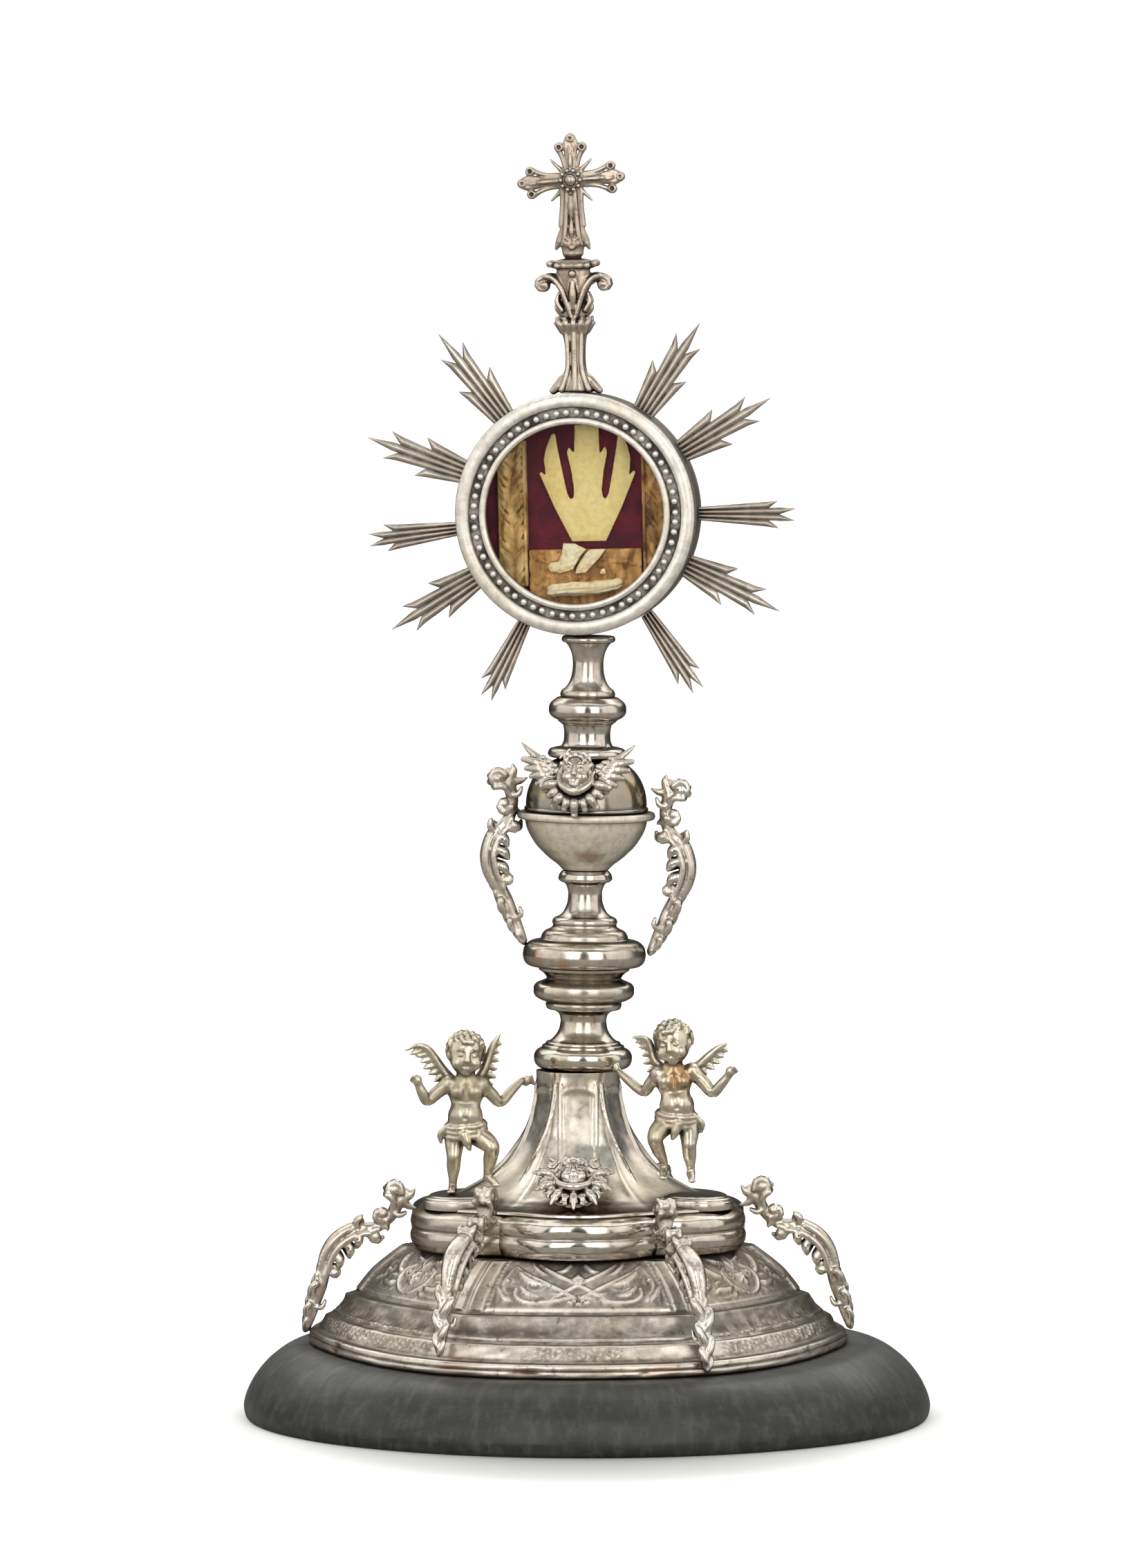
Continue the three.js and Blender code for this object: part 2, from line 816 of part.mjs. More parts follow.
const footing = group("footing", reliquary, FOOT_SHIFT);
footing.add(piece("foot", foot(), SILVER));
footing.add(piece("shoulder", shoulder(), SILVER));
footing.add(piece("bell", bell(), SILVER));

const castBracket = bracket();
for (const [i, [angle, rise]] of FOOT_BRACKETS.entries()) {
  const [r, z] = FOOT_BRACKET_TAIL;
  const name = `foot_bracket_${i + 1}`;
  footing.add(standBracket(name, castBracket, radians(angle), r, z + rise, FOOT_BRACKET_TIP));
}

const [leftStand, rightStand] = PUTTO_STANDS;
const leftPutto = putto().translate(leftStand, PAD_CENTRE[1], PAD_TOP + GAP);
const rightPutto = mirrorOf(putto()).translate(rightStand, PAD_CENTRE[1], PAD_TOP + GAP + RIGHT_PUTTO_RISE);
footing.add(piece("putto_left", leftPutto, SILVER));
footing.add(piece("putto_right", rightPutto, SILVER));

const mask = leafyHead().rotateX(MASK_TILT);
footing.add(piece("bell_mask", mask.translate(...MASK_CENTRE), DARK_SILVER));

// The stem leans to the right from the top of the bell
const stem = group("stem", footing, STEM_SHIFT, 0, BELL_TOP);
stem.rotation.y = STEM_LEAN;
const stages = [
  ["lower_stem", LOWER_STEM],
  ["baluster", BALUSTER],
  ["cup", CUP],
  ["cover", COVER],
  ["neck", NECK],
];
for (const [name, profile] of stages)
  stem.add(piece(name, turned(seated(profile), STEM_SIDES).translate(0, 0, -BELL_TOP), SILVER));

const handleRise = -BELL_TOP;
const [handleR, handleZ] = HANDLE_TAIL;
stem.add(standBracket("handle_right", castBracket, 0, handleR + 1.8, handleZ + handleRise - 3.2, HANDLE_TIP));
stem.add(standBracket("handle_left", castBracket, PI, handleR, handleZ + handleRise, HANDLE_TIP));

const winged = wingedHead().rotateX(CHERUB_TILT).translate(0, -CHERUB_REACH, CHERUB_HEIGHT - BELL_TOP);
stem.add(piece("cherub_mask", winged.rotateZ(CHERUB_TURN), DARK_SILVER));

// The head: case, rays and finial, turned a little to the left and leaning left
const head = group("head", reliquary, ...HEAD_CENTRE.toArray());
head.rotation.set(0, HEAD_LEAN, HEAD_TURN, "YXZ");
head.add(piece("case_drum", caseDrum(), SILVER));
head.add(piece("case_bezel", caseBezel(), SILVER));
const behindBezel = -CASE_DEPTH / 2 + 1 + GAP;
const insideRadius = CASE_RADIUS - CASE_WALL - GAP;
head.add(piece("glass", disc(insideRadius, 1.3, 36).translate(0, behindBezel + 0.65, 0), GLASS));
const panelDepth = CASE_DEPTH / 2 - CASE_WALL - GAP - BACKING_FACE;
const velvet = disc(insideRadius, panelDepth, 36).translate(0, BACKING_FACE + panelDepth / 2, 0);
head.add(piece("velvet_panel", velvet, VELVET));

const onPanel = (geometry, thickness, gap = GAP) =>
  geometry.translate(0, BACKING_FACE - gap - thickness / 2, 0);
head.add(piece("gilt_rays", onPanel(giltRays(), 0.8), GILT));
head.add(piece("border_left", onPanel(borderStrip(LEFT_STRIP, -1), STRIP_THICKNESS), STRAW));
head.add(piece("border_right", onPanel(borderStrip(RIGHT_STRIP, 1), STRIP_THICKNESS), STRAW));
head.add(piece("border_floor", onPanel(borderFloor(), STRIP_THICKNESS), STRAW));
const onFloor = STRIP_THICKNESS + 2 * GAP;
head.add(piece("relic_left", onPanel(plate(LEFT_CHIP, 1.6), 1.6, onFloor), BONE));
head.add(piece("relic_right", onPanel(plate(RIGHT_CHIP, 1.6), 1.6, onFloor), BONE));
const roll = new THREE.CylinderGeometry(ROLL.radius, ROLL.radius, ROLL.length, 10)
  .rotateZ(PI / 2)
  .rotateY(-ROLL.rise)
  .translate(ROLL.middle[0], 0, ROLL.middle[1]);
head.add(piece("relic_roll", onPanel(roll, 2 * ROLL.radius, onFloor), BONE));

for (const [i, [kind, angle, length]] of RAYS.entries()) {
  const blade = ray(kind, length).translate(CASE_RADIUS + GAP + 0.2, 0, 0).rotateY(-radians(angle));
  head.add(piece(`ray_${i + 1}`, blade, SILVER));
}

const onCase = CASE_RADIUS + GAP + 0.2;
head.add(piece("finial_stem", finialStem().translate(0, 0, onCase), SILVER));
head.add(piece("finial_cross", finialCross().translate(0, 0, onCase + 45 + GAP), SILVER));

export default reliquary;
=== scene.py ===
import math
from functools import reduce

import bpy
import numpy as np
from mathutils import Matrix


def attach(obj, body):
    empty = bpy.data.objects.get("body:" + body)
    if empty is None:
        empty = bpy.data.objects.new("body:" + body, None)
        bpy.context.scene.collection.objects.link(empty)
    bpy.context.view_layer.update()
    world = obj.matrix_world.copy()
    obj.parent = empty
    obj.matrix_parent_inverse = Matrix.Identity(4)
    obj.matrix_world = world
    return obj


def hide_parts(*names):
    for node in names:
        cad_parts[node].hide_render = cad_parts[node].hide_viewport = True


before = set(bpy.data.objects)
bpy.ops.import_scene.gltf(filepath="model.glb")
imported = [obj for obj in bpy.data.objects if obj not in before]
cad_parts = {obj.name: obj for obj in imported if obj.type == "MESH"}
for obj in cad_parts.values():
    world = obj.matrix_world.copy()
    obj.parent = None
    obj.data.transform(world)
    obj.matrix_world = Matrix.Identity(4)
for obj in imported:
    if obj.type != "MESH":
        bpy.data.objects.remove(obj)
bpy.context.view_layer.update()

import openvdb
from mathutils import Vector

# A silver altar reliquary on a black-stained wooden base. The numbers below are in millimetres and are the
# part's own: they are scaled to metres when a mesh is made.
MM = 0.001
PI = math.pi

WOOD_TOP, FOOT_TOP, BELL_TOP = 25.5, 59.0, 119.0
LOBE_CENTRE, LOBE_RADIUS = 29.6, 31.6  # the shoulder's six lobes
PAD_CENTRE, PAD_TOP = (40.3, -23.0), 78.6  # the pads on the bell that carry the putti
CASE_RADIUS = 40.9
FINIAL_FOOT, CROSS_FOOT = 41.4, 86.7  # heights over the middle of the case


# Placing
def shift(x, y, z):
    m = np.eye(4)
    m[:3, 3] = (x, y, z)
    return m


def turn(axis, degrees):
    a = math.radians(degrees)
    c, s = math.cos(a), math.sin(a)
    m = np.eye(4)
    i, j = {"x": (1, 2), "y": (2, 0), "z": (0, 1)}[axis]
    m[i, i] = m[j, j] = c
    m[i, j], m[j, i] = -s, s
    return m


def moved(points, matrix):
    return points @ matrix[:3, :3].T + matrix[:3, 3]


# the foot stands a little off the middle of the wood, the stem and the case lean, and the case is turned
FOOTING = shift(-3.0, 0, 0)
STEM = FOOTING @ shift(1.6, 0, BELL_TOP) @ turn("y", 0.75) @ shift(0, 0, -BELL_TOP)
HEAD = shift(-2.6, 0, 309.1) @ turn("y", -1.4) @ turn("z", -9.0)


# Meshes
def make(name, points, quads, nodes, material, slot, matrix, tris, sharp):
    if matrix is not None:
        points = moved(points, matrix)
    quads = np.asarray(quads, np.int32).reshape(-1, 4)
    tris = np.asarray(tris, np.int32).reshape(-1, 3)
    mesh = bpy.data.meshes.new(name)
    mesh.vertices.add(len(points))
    mesh.vertices.foreach_set("co", (np.asarray(points) * MM).astype(np.float32).ravel())
    corners = np.concatenate([quads.ravel(), tris.ravel()])
    mesh.loops.add(len(corners))
    mesh.loops.foreach_set("vertex_index", corners)
    starts = np.concatenate([np.arange(len(quads)) * 4, len(quads) * 4 + np.arange(len(tris)) * 3])
    mesh.polygons.add(len(starts))
    mesh.polygons.foreach_set("loop_start", starts.astype(np.int32))
    mesh.polygons.foreach_set("use_smooth", np.ones(len(starts), bool))
    mesh.update(calc_edges=True)
    mesh.validate()
    mesh.set_sharp_from_angle(angle=math.radians(sharp))
    mesh.materials.append(material)
    piece = bpy.data.objects.new(name, mesh)
    bpy.context.scene.collection.objects.link(piece)
    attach(piece, "root")
    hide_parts(*nodes)
    return piece


def skin(rings):
    """Quads and triangles over a stack of rings, each anticlockwise seen from the last."""
    rows, count, _ = rings.shape
    points = np.concatenate([rings.reshape(-1, 3), rings[0].mean(0)[None], rings[-1].mean(0)[None]])
    i = np.arange(count)
    j = (i + 1) % count
    k = np.arange(rows - 1)[:, None] * count
    quads = np.stack([k + i, k + j, k + count + j, k + count + i], -1).reshape(-1, 4)
    low, high = rows * count, rows * count + 1
    last = (rows - 1) * count
    tris = np.concatenate([
        np.stack([np.full(count, low), j, i], -1),
        np.stack([np.full(count, high), last + i, last + j], -1),
    ])
    return points, quads, tris


def merged(parts):
    """One (points, quads, tris) from several."""
    points, quads, tris, base = [], [], [], 0
    for part in parts:
        p, q = part[0], np.asarray(part[1], np.int64).reshape(-1, 4)
        t = np.asarray(part[2] if len(part) > 2 else [], np.int64).reshape(-1, 3)
        points.append(p)
        quads.append(q + base)
        tris.append(t + base)
        base += len(p)
    return np.concatenate(points), np.concatenate(quads), np.concatenate(tris)


def outline(points, step):
    """A profile through [a, b] or [a, b, bulge] points: the bulge is the rise of the arc that ends there
    over half its chord, to the right of the way it runs. Long stretches are divided, corners are kept."""
    made = [np.array(points[0][:2], float)]
    for point in points[1:]:
        a, b = made[-1], np.array(point[:2], float)
        chord = np.linalg.norm(b - a)
        if chord < 1e-6:
            continue
        n = max(1, int(math.ceil(chord / step)))
        bulge = point[2] if len(point) > 2 else 0
        if not bulge:
            made += [a + (b - a) * t for t in np.linspace(0, 1, n + 1)[1:]]
            continue
        n = max(n, 5)
        along = (b - a) / chord
        right = np.array([along[1], -along[0]])
        half = 2 * math.atan(bulge)
        radius = chord / (2 * math.sin(half))
        centre = (a + b) / 2 - right * radius * math.cos(half)
        for angle in np.linspace(-half, half, n + 1)[1:]:
            made.append(centre + radius * (math.sin(angle) * along + math.cos(angle) * right))
    return np.array(made)


def fan_angles(count):
    return 2 * PI * np.arange(count) / count


def around(r, z, a):
    """Rings of points round the Z axis, at radius r, height z and angle a."""
    return np.stack([r * np.cos(a), r * np.sin(a), z + 0 * a], -1)


def turned(profile, sides, step):
    """A turned solid from [radius, height(, bulge)] points, from the bottom up."""
    line = outline(profile, step)
    return skin(around(line[:, 0:1], line[:, 1:2], fan_angles(sides)))


def soft(x):
    x = np.clip(x, 0, 1)
    return x * x * (3 - 2 * x)


def rise(x, low, high):
    return soft((x - low) / (high - low))


# Modelling clay
AWAY = 3.0  # the signed distance where there is nothing


class Clay:
    """A grid of signed distances that rounded strokes are added to or cut from, meshed at the end."""

    def __init__(self, low, high, grain):
        self.low, self.grain = np.array(low, float), grain
        size = np.ceil((np.array(high) - self.low) / grain).astype(int) + 1
        self.field = np.full(size, AWAY, np.float32)
        self.flip = np.ones(3)

    def mirrored(self, axis):
        """For a loop whose body is modelled twice: mirrored across the axis first, then as written."""
        for sign in (-1, 1):
            self.flip[axis] = sign
            yield sign

    def axes(self):
        """The x, y and z of the grid, each along its own axis of the array."""
        x, y, z = (self.low[i] + self.grain * np.arange(n) for i, n in enumerate(self.field.shape))
        return x[:, None, None], y[None, :, None], z[None, None, :]

    def fill(self, *walls):
        """Adds what lies inside all of the walls, each given as a signed distance."""
        self.field = np.minimum(self.field, reduce(np.maximum, walls)).astype(np.float32)

    def trim(self, *walls):
        """Keeps only what lies inside all of the walls."""
        self.field = reduce(np.maximum, walls, self.field).astype(np.float32)

    def window(self, low, high):
        a = np.floor((np.asarray(low) - self.low) / self.grain).astype(int)
        b = np.ceil((np.asarray(high) - self.low) / self.grain).astype(int) + 1
        a, b = np.clip(a, 0, self.field.shape), np.clip(b, 0, self.field.shape)
        return tuple(slice(a[i], b[i]) for i in range(3))

    def offsets(self, window, centre):
        """The window's x, y and z measured from a centre."""
        x, y, z = (self.low[i] + self.grain * np.arange(w.start, w.stop) for i, w in enumerate(window))
        return x[:, None, None] - centre[0], y[None, :, None] - centre[1], z[None, None, :] - centre[2]

    def press(self, window, d, blend, cut):
        f = self.field[window]
        if not f.size:
            return
        if cut:
            h = np.maximum(blend - np.abs(f + d), 0) / blend
            self.field[window] = np.maximum(f, -d) + h * h * blend / 4
        else:
            h = np.maximum(blend - np.abs(f - d), 0) / blend
            self.field[window] = np.minimum(f, d) - h * h * blend / 4

    def ball(self, centre, radii, blend, cut=False):
        """An ellipsoid."""
        c = np.array(centre, float) * self.flip
        r = np.broadcast_to(np.array(radii, float), 3)
        window = self.window(c - r - blend - 1, c + r + blend + 1)
        x, y, z = (p.astype(np.float32) - v for p, v in zip(self.offsets(window, (0, 0, 0)), c))
        k0 = np.sqrt((x / r[0]) ** 2 + (y / r[1]) ** 2 + (z / r[2]) ** 2)
        k1 = np.sqrt((x / r[0] ** 2) ** 2 + (y / r[1] ** 2) ** 2 + (z / r[2] ** 2) ** 2)
        self.press(window, k0 * (k0 - 1) / np.maximum(k1, 1e-6), blend, cut)

    def rod(self, points, blend, flat=None, cut=False, steps=4):
        """A round stroke along [x, y, z, radius] points; flat is the normal it is flattened along and the
        share of its thickness that is left."""
        line = curve(np.array(points, float) * (*self.flip, 1), steps)
        low, high = (line[:, :3] - line[:, 3:]).min(0), (line[:, :3] + line[:, 3:]).max(0)
        margin = blend + 1
        window = self.window(low - margin, high + margin)
        shape = self.field[window].shape
        if 0 in shape:
            return
        d = np.full(shape, AWAY, np.float32)
        n, share = (None, 1) if flat is None else (np.array(flat[0], float) / np.linalg.norm(flat[0]),
            flat[1])
        for a, b in zip(line[:-1], line[1:]):
            reach = max(a[3], b[3]) + margin
            part = self.window(np.minimum(a, b)[:3] - reach, np.maximum(a, b)[:3] + reach)
            part = [slice(max(p.start, w.start), min(p.stop, w.stop)) for p, w in zip(part, window)]
            inner = tuple(slice(p.start - w.start, p.stop - w.start) for p, w in zip(part, window))
            px, py, pz = (p.astype(np.float32) for p in self.offsets(part, a))
            along = b[:3] - a[:3]
            length2 = max(float(along @ along), 1e-9)
            t = np.clip((px * along[0] + py * along[1] + pz * along[2]) / length2, 0, 1)
            px, py, pz = px - t * along[0], py - t * along[1], pz - t * along[2]
            square = px * px + py * py + pz * pz
            if n is not None:
                off = px * n[0] + py * n[1] + pz * n[2]
                square = square + off * off * (1 / share**2 - 1)
            near = np.sqrt(square) - (a[3] + t * (b[3] - a[3]))
            if n is not None:
                near = near * math.sqrt(share)
            np.minimum(d[inner], near, out=d[inner])
        self.press(window, d, blend, cut)

    def curl(self, centre, plane, start, turns, size, thick, blend, eye=1.3):
        """A spiral that winds inwards in the plane of two axes, from an outer end at start degrees."""
        u, v = (np.array(p, float) for p in plane)
        rows = []
        for t in np.linspace(0, 1, max(4, int(abs(turns) * 9))):
            a = math.radians(start + 360 * turns * t)
            r = size * (1 - t) ** 0.85
            p = np.array(centre) + r * (math.cos(a) * u + math.sin(a) * v)
            rows.append([*p, thick * (1 - 0.35 * t)])
        self.rod(rows, blend, steps=1)
        self.ball(centre, thick * eye, blend)

    def mesh(self):
        rim = 2
        grid = openvdb.FloatGrid(AWAY)
        grid.copyFromArray(np.pad(self.field, rim, constant_values=AWAY))
        points, quads = grid.convertToQuads(0.0)
        points = (points - rim) * self.grain + self.low
        a, b, c, d = (points[quads[:, i]] for i in range(4))
        volume = np.einsum("ij,ij->i", np.cross(c - a, d - b), a + b + c + d).sum()
        if volume < 0:
            quads = quads[:, ::-1]
        return largest(points, quads)


def largest(points, quads):
    """Drops crumbs: keeps the bodies of the mesh that hold at least a tenth of its faces."""
    label = np.arange(len(points))
    while True:
        low = label[quads].min(1)
        new = label.copy()
        for i in range(4):
            np.minimum.at(new, quads[:, i], low)
        new = new[new]
        if (new == label).all():
            break
        label = new
    owners, counts = np.unique(label[quads[:, 0]], return_counts=True)
    kept = np.isin(label[quads[:, 0]], owners[counts > 0.1 * len(quads)])
    quads = quads[kept]
    used, index = np.unique(quads, return_inverse=True)
    return points[used], index.reshape(-1, 4)


def curve(points, steps):
    """A Catmull-Rom curve through rows of numbers."""
    p = np.array(points, float)
    if len(p) < 3 or steps < 2:
        return p
    p = np.concatenate([2 * p[:1] - p[1:2], p, 2 * p[-1:] - p[-2:-1]])
    rows = []
    for k in range(1, len(p) - 2):
        a, b, c, d = p[k - 1], p[k], p[k + 1], p[k + 2]
        for t in np.arange(steps) / steps:
            rows.append(b + t * (c - a) / 2 + t * t * (a - 2.5 * b + 2 * c - d / 2)
                        + t**3 * (-a / 2 + 1.5 * b - 1.5 * c + d / 2))
    rows.append(p[-2])
    made = np.array(rows)
    made[:, -1] = np.maximum(made[:, -1], 0.05)
    return made


# How a material is put together
class Shade:
    """Builds a node material: each method adds a node and returns its output socket."""

    def __init__(self, name):
        self.material = bpy.data.materials.new(name)
        self.material.use_nodes = True
        self.tree = self.material.node_tree
        self.tree.nodes.clear()
        self.place = self.node("ShaderNodeTexCoord").outputs["Object"]

    def node(self, kind, **settings):
        made = self.tree.nodes.new(kind)
        for key, value in settings.items():
            setattr(made, key, value)
        return made

    def plug(self, socket, value):
        if isinstance(value, bpy.types.NodeSocket):
            self.tree.links.new(value, socket)
        elif value is not None:
            socket.default_value = value

    def noise(self, scale, detail, rough, warp=0.0, squeeze=None, place=None):
        made = self.node("ShaderNodeTexNoise")
        place = place or self.place
        if squeeze:
            mapping = self.node("ShaderNodeMapping")
            self.plug(mapping.inputs["Vector"], place)
            mapping.inputs["Scale"].default_value = squeeze
            place = mapping.outputs[0]
        self.plug(made.inputs["Vector"], place)
        made.inputs["Scale"].default_value = scale
        made.inputs["Detail"].default_value = detail
        made.inputs["Roughness"].default_value = rough
        made.inputs["Distortion"].default_value = warp
        return made.outputs[0]

    def ramp(self, value, *stops, smooth=True):
        made = self.node("ShaderNodeValToRGB")
        made.color_ramp.interpolation = "EASE" if smooth else "LINEAR"
        points = made.color_ramp.elements
        while len(points) < len(stops):
            points.new(0.5)
        for point, (place, colour) in zip(points, stops):
            point.position = place
            point.color = (*colour, 1) if hasattr(colour, "__len__") else (colour, colour, colour, 1)
        self.plug(made.inputs[0], value)
        return made.outputs[0]

    def mix(self, factor, a, b):
        made = self.node("ShaderNodeMix", data_type="RGBA", blend_type="MIX")
        self.plug(made.inputs["Factor"], factor)
        for name, value in (("A", a), ("B", b)):
            socket = [s for s in made.inputs if s.name == name and s.type == "RGBA"][0]
            self.plug(socket, (*value, 1) if isinstance(value, tuple) and len(value) == 3 else value)
        return [s for s in made.outputs if s.type == "RGBA"][0]

    def maths(self, kind, a, b, clamp=False):
        made = self.node("ShaderNodeMath", operation=kind, use_clamp=clamp)
        self.plug(made.inputs[0], a)
        self.plug(made.inputs[1], b)
        return made.outputs[0]

    def hollow(self, distance, samples=6):
        """Near 0 in creases and under overhangs, 1 in the open."""
        made = self.node("ShaderNodeAmbientOcclusion", samples=samples, only_local=False)
        made.inputs["Distance"].default_value = distance * MM
        return made.outputs["AO"]

    def edge(self):
        return self.node("ShaderNodeNewGeometry").outputs["Pointiness"]

    def grazing(self):
        """0 where the surface faces the eye, 1 where it turns away."""
        return self.node("ShaderNodeLayerWeight").outputs["Facing"]

    def attribute(self, name):
        return self.node("ShaderNodeAttribute", attribute_name=name).outputs["Fac"]

    def bump(self, height, strength, distance, below=None):
        made = self.node("ShaderNodeBump")
        made.inputs["Strength"].default_value = strength
        made.inputs["Distance"].default_value = distance * MM
        self.plug(made.inputs["Height"], height)
        if below is not None:
            self.plug(made.inputs["Normal"], below)
        return made.outputs[0]

    def surface(self, **inputs):
        shader = self.node("ShaderNodeBsdfPrincipled")
        for key, value in inputs.items():
            self.plug(shader.inputs[key.replace("_", " ")], value)
        output = self.node("ShaderNodeOutputMaterial")
        self.plug(output.inputs["Surface"], shader.outputs[0])
        return self.material


def silver(name, bright=(0.72, 0.665, 0.60), dull=(0.46, 0.39, 0.325), rough=0.17, tarnish=0.55,
        grime_and_shade=0.9, crease=2.0, grain=0.12, speckle=0.0, ground_and_shade=False, straw=0.35, stains=(),
        metallic=1.0):
    """Old silver: bright where it is rubbed, warm and pinkish films of tarnish, black in the creases, with
    painted shade in the hollows and a painted dark rim where the surface turns away.
    """
    s = Shade(name)
    film = s.ramp(s.noise(34, 4, 0.6, 0.6), (0.36, 0.0), (0.68, 1.0))
    pink = s.ramp(s.noise(58, 3, 0.6), (0.46, 0.0), (0.66, 1.0))
    yellow = s.ramp(s.noise(41, 3, 0.55, 0.3), (0.48, 0.0), (0.66, 1.0))
    fine = s.noise(420, 4, 0.65)
    colour = s.mix(s.maths("MULTIPLY", film, tarnish), bright, dull)
    colour = s.mix(s.maths("MULTIPLY", yellow, straw), colour, (0.68, 0.575, 0.385))
    colour = s.mix(s.maths("MULTIPLY", pink, 0.5 * tarnish), colour, (0.60, 0.44, 0.385))
    colour = s.mix(s.ramp(fine, (0.3, 0.35), (0.62, 0.0)), colour, (0.25, 0.215, 0.18))
    for place, size, tint in stains:
        away = s.node("ShaderNodeVectorMath", operation="DISTANCE")
        s.plug(away.inputs[0], s.place)
        away.inputs[1].default_value = [v * MM for v in place]
        near = s.ramp(s.maths("ADD", s.maths("MULTIPLY", away.outputs["Value"], 1 / (2 * size * MM)),
            s.maths("MULTIPLY", s.noise(240, 3, 0.6), 0.5)), (0.38, 0.95), (0.72, 0.0))
        colour = s.mix(near, colour, tint)
    worn = s.ramp(s.edge(), (0.5, 0.0), (0.56, 1.0))
    colour = s.mix(s.maths("MULTIPLY", worn, 0.5), colour, (0.84, 0.79, 0.72))
    # painted shade: a broad darkening in the hollows and under overhangs, such as under chins and rims
    shade = s.maths("MULTIPLY", s.ramp(s.hollow(crease * 3.2, 4), (0.20, 1.0), (0.80, 0.0)), 0.55 * grime_and_shade)
    colour = s.mix(shade, colour, (0.15, 0.12, 0.095))
    # black tarnish in the creases, partly painted shade where the same mask darkens under overhangs
    tarnish_and_shade = s.maths("MULTIPLY", s.ramp(s.hollow(crease), (0.30, 1.0), (0.84, 0.0)), grime_and_shade)
    if ground_and_shade:
        # the point attribute is how dark the chased ground is (on the rays, painted shade between the
        # slivers), and below 0 where the metal is rubbed bright
        mark = s.attribute("ground_and_shade")
        patchy = s.ramp(s.noise(170, 3, 0.6), (0.35, 0.5), (0.62, 0.95))
        tarnish_and_shade = s.maths("MAXIMUM", tarnish_and_shade, s.maths("MULTIPLY", mark, patchy))
    colour = s.mix(tarnish_and_shade, colour, (0.038, 0.031, 0.026))
    # painted shade and reflection: darker where the surface turns away from the eye, a dark rim at the
    # silhouettes
    painted_dark_rim = s.maths("MULTIPLY", s.ramp(s.grazing(), (0.42, 0.0), (0.85, 1.0)), 0.8)
    colour = s.mix(painted_dark_rim, colour, (0.085, 0.078, 0.068))
    if ground_and_shade:
        colour = s.mix(s.maths("MULTIPLY", mark, -0.85, clamp=True), colour, (0.95, 0.915, 0.86))
    if speckle:
        spot = s.ramp(s.noise(230, 5, 0.7), (0.56, 0.0), (0.68, 1.0))
        colour = s.mix(s.maths("MULTIPLY", spot, speckle), colour, (0.13, 0.105, 0.085))
    roughness = s.ramp(s.maths("ADD", s.maths("MULTIPLY", film, 0.5), s.maths("MULTIPLY", fine, 0.5)),
        (0.2, rough - 0.05), (0.8, rough + 0.12))
    roughness = s.maths("ADD", roughness, s.maths("MULTIPLY", tarnish_and_shade, 0.25), clamp=True)
    dents = s.bump(s.noise(95, 2, 0.5), grain, 0.35)
    dents = s.bump(s.noise(900, 3, 0.6), grain * 0.9, 0.05, dents)
    return s.surface(Base_Color=colour, Metallic=metallic, Roughness=roughness, Normal=dents,
        Specular_Tint=(0.45, 0.42, 0.38, 1))


# The wooden base
def wood_base():
    profile = [[0.01, 0], [115.2, 0], [116.1, 0.25], [116.9, 1.6], [117.3, 4.2], [116.9, 6.6],
        [116.0, 9.2], [113.7, 13.6], [109.9, 18.4], [105.4, 22.2], [101.6, 24.4], [98.6, 25.3],
        [95.5, 25.5], [0.01, 25.5]]
    line = curve([[r, z, 1] for r, z in profile[1:-1]], 5)[:, :2]
    line = np.concatenate([[profile[0]], line, [profile[-1]]])
    a = fan_angles(180)
    wobble = 1 + 0.0004 * np.sin(3 * a + 1) + 0.0003 * np.sin(7 * a)
    r, z = line[:, 0:1], line[:, 1:2]
    return skin(around(r * wobble, z - sag(a) * rise(-r, -110, -97) * rise(z, 12, 24), a))


# The foot
def hexagonal(angle, share):
    fold = np.mod(angle, PI / 3)
    return 1 - share * (1 - math.cos(PI / 6) / np.cos(fold - PI / 6))


def dome(x):
    """A round swelling: 1 in the middle, 0 where x reaches 1 on either side."""
    return np.clip(1 - x**2, 0, 1) ** 0.5


def nearest(u, v, a, b):
    """The nearest place to each point on the stretch from a to b, from 0 to 1, and the gap to it."""
    du, dv = b[0] - a[0], b[1] - a[1]
    t = np.clip(((u - a[0]) * du + (v - a[1]) * dv) / max(du * du + dv * dv, 1e-9), 0, 1)
    return t, np.hypot(u - a[0] - t * du, v - a[1] - t * dv)


def stroke(u, v, points, high=0.8):
    """The height of a raised stroke over the plane: points are [u, v, half width]."""
    line = curve(points, 5)
    best = np.zeros_like(u)
    for a, b in zip(line[:-1], line[1:]):
        t, gap = nearest(u, v, a, b)
        width = a[2] + t * (b[2] - a[2])
        best = np.maximum(best, dome(gap / width) * np.minimum(width / 1.2, 1))
    return best * high


def scroll(u, v, centre, start, turns, size, width, high=0.8):
    """A stroke that winds inwards to a small ball."""
    rows = []
    for t in np.linspace(0, 1, max(5, int(abs(turns) * 10))):
        a = math.radians(start + 360 * turns * t)
        r = size * (1 - t) ** 0.8
        rows.append([centre[0] + r * math.cos(a), centre[1] + r * math.sin(a), width * (1 - 0.4 * t)])
    ball = dome(np.hypot(u - centre[0], v - centre[1]) / (width * 1.25))
    return np.maximum(stroke(u, v, rows, high), ball * high * 1.2)


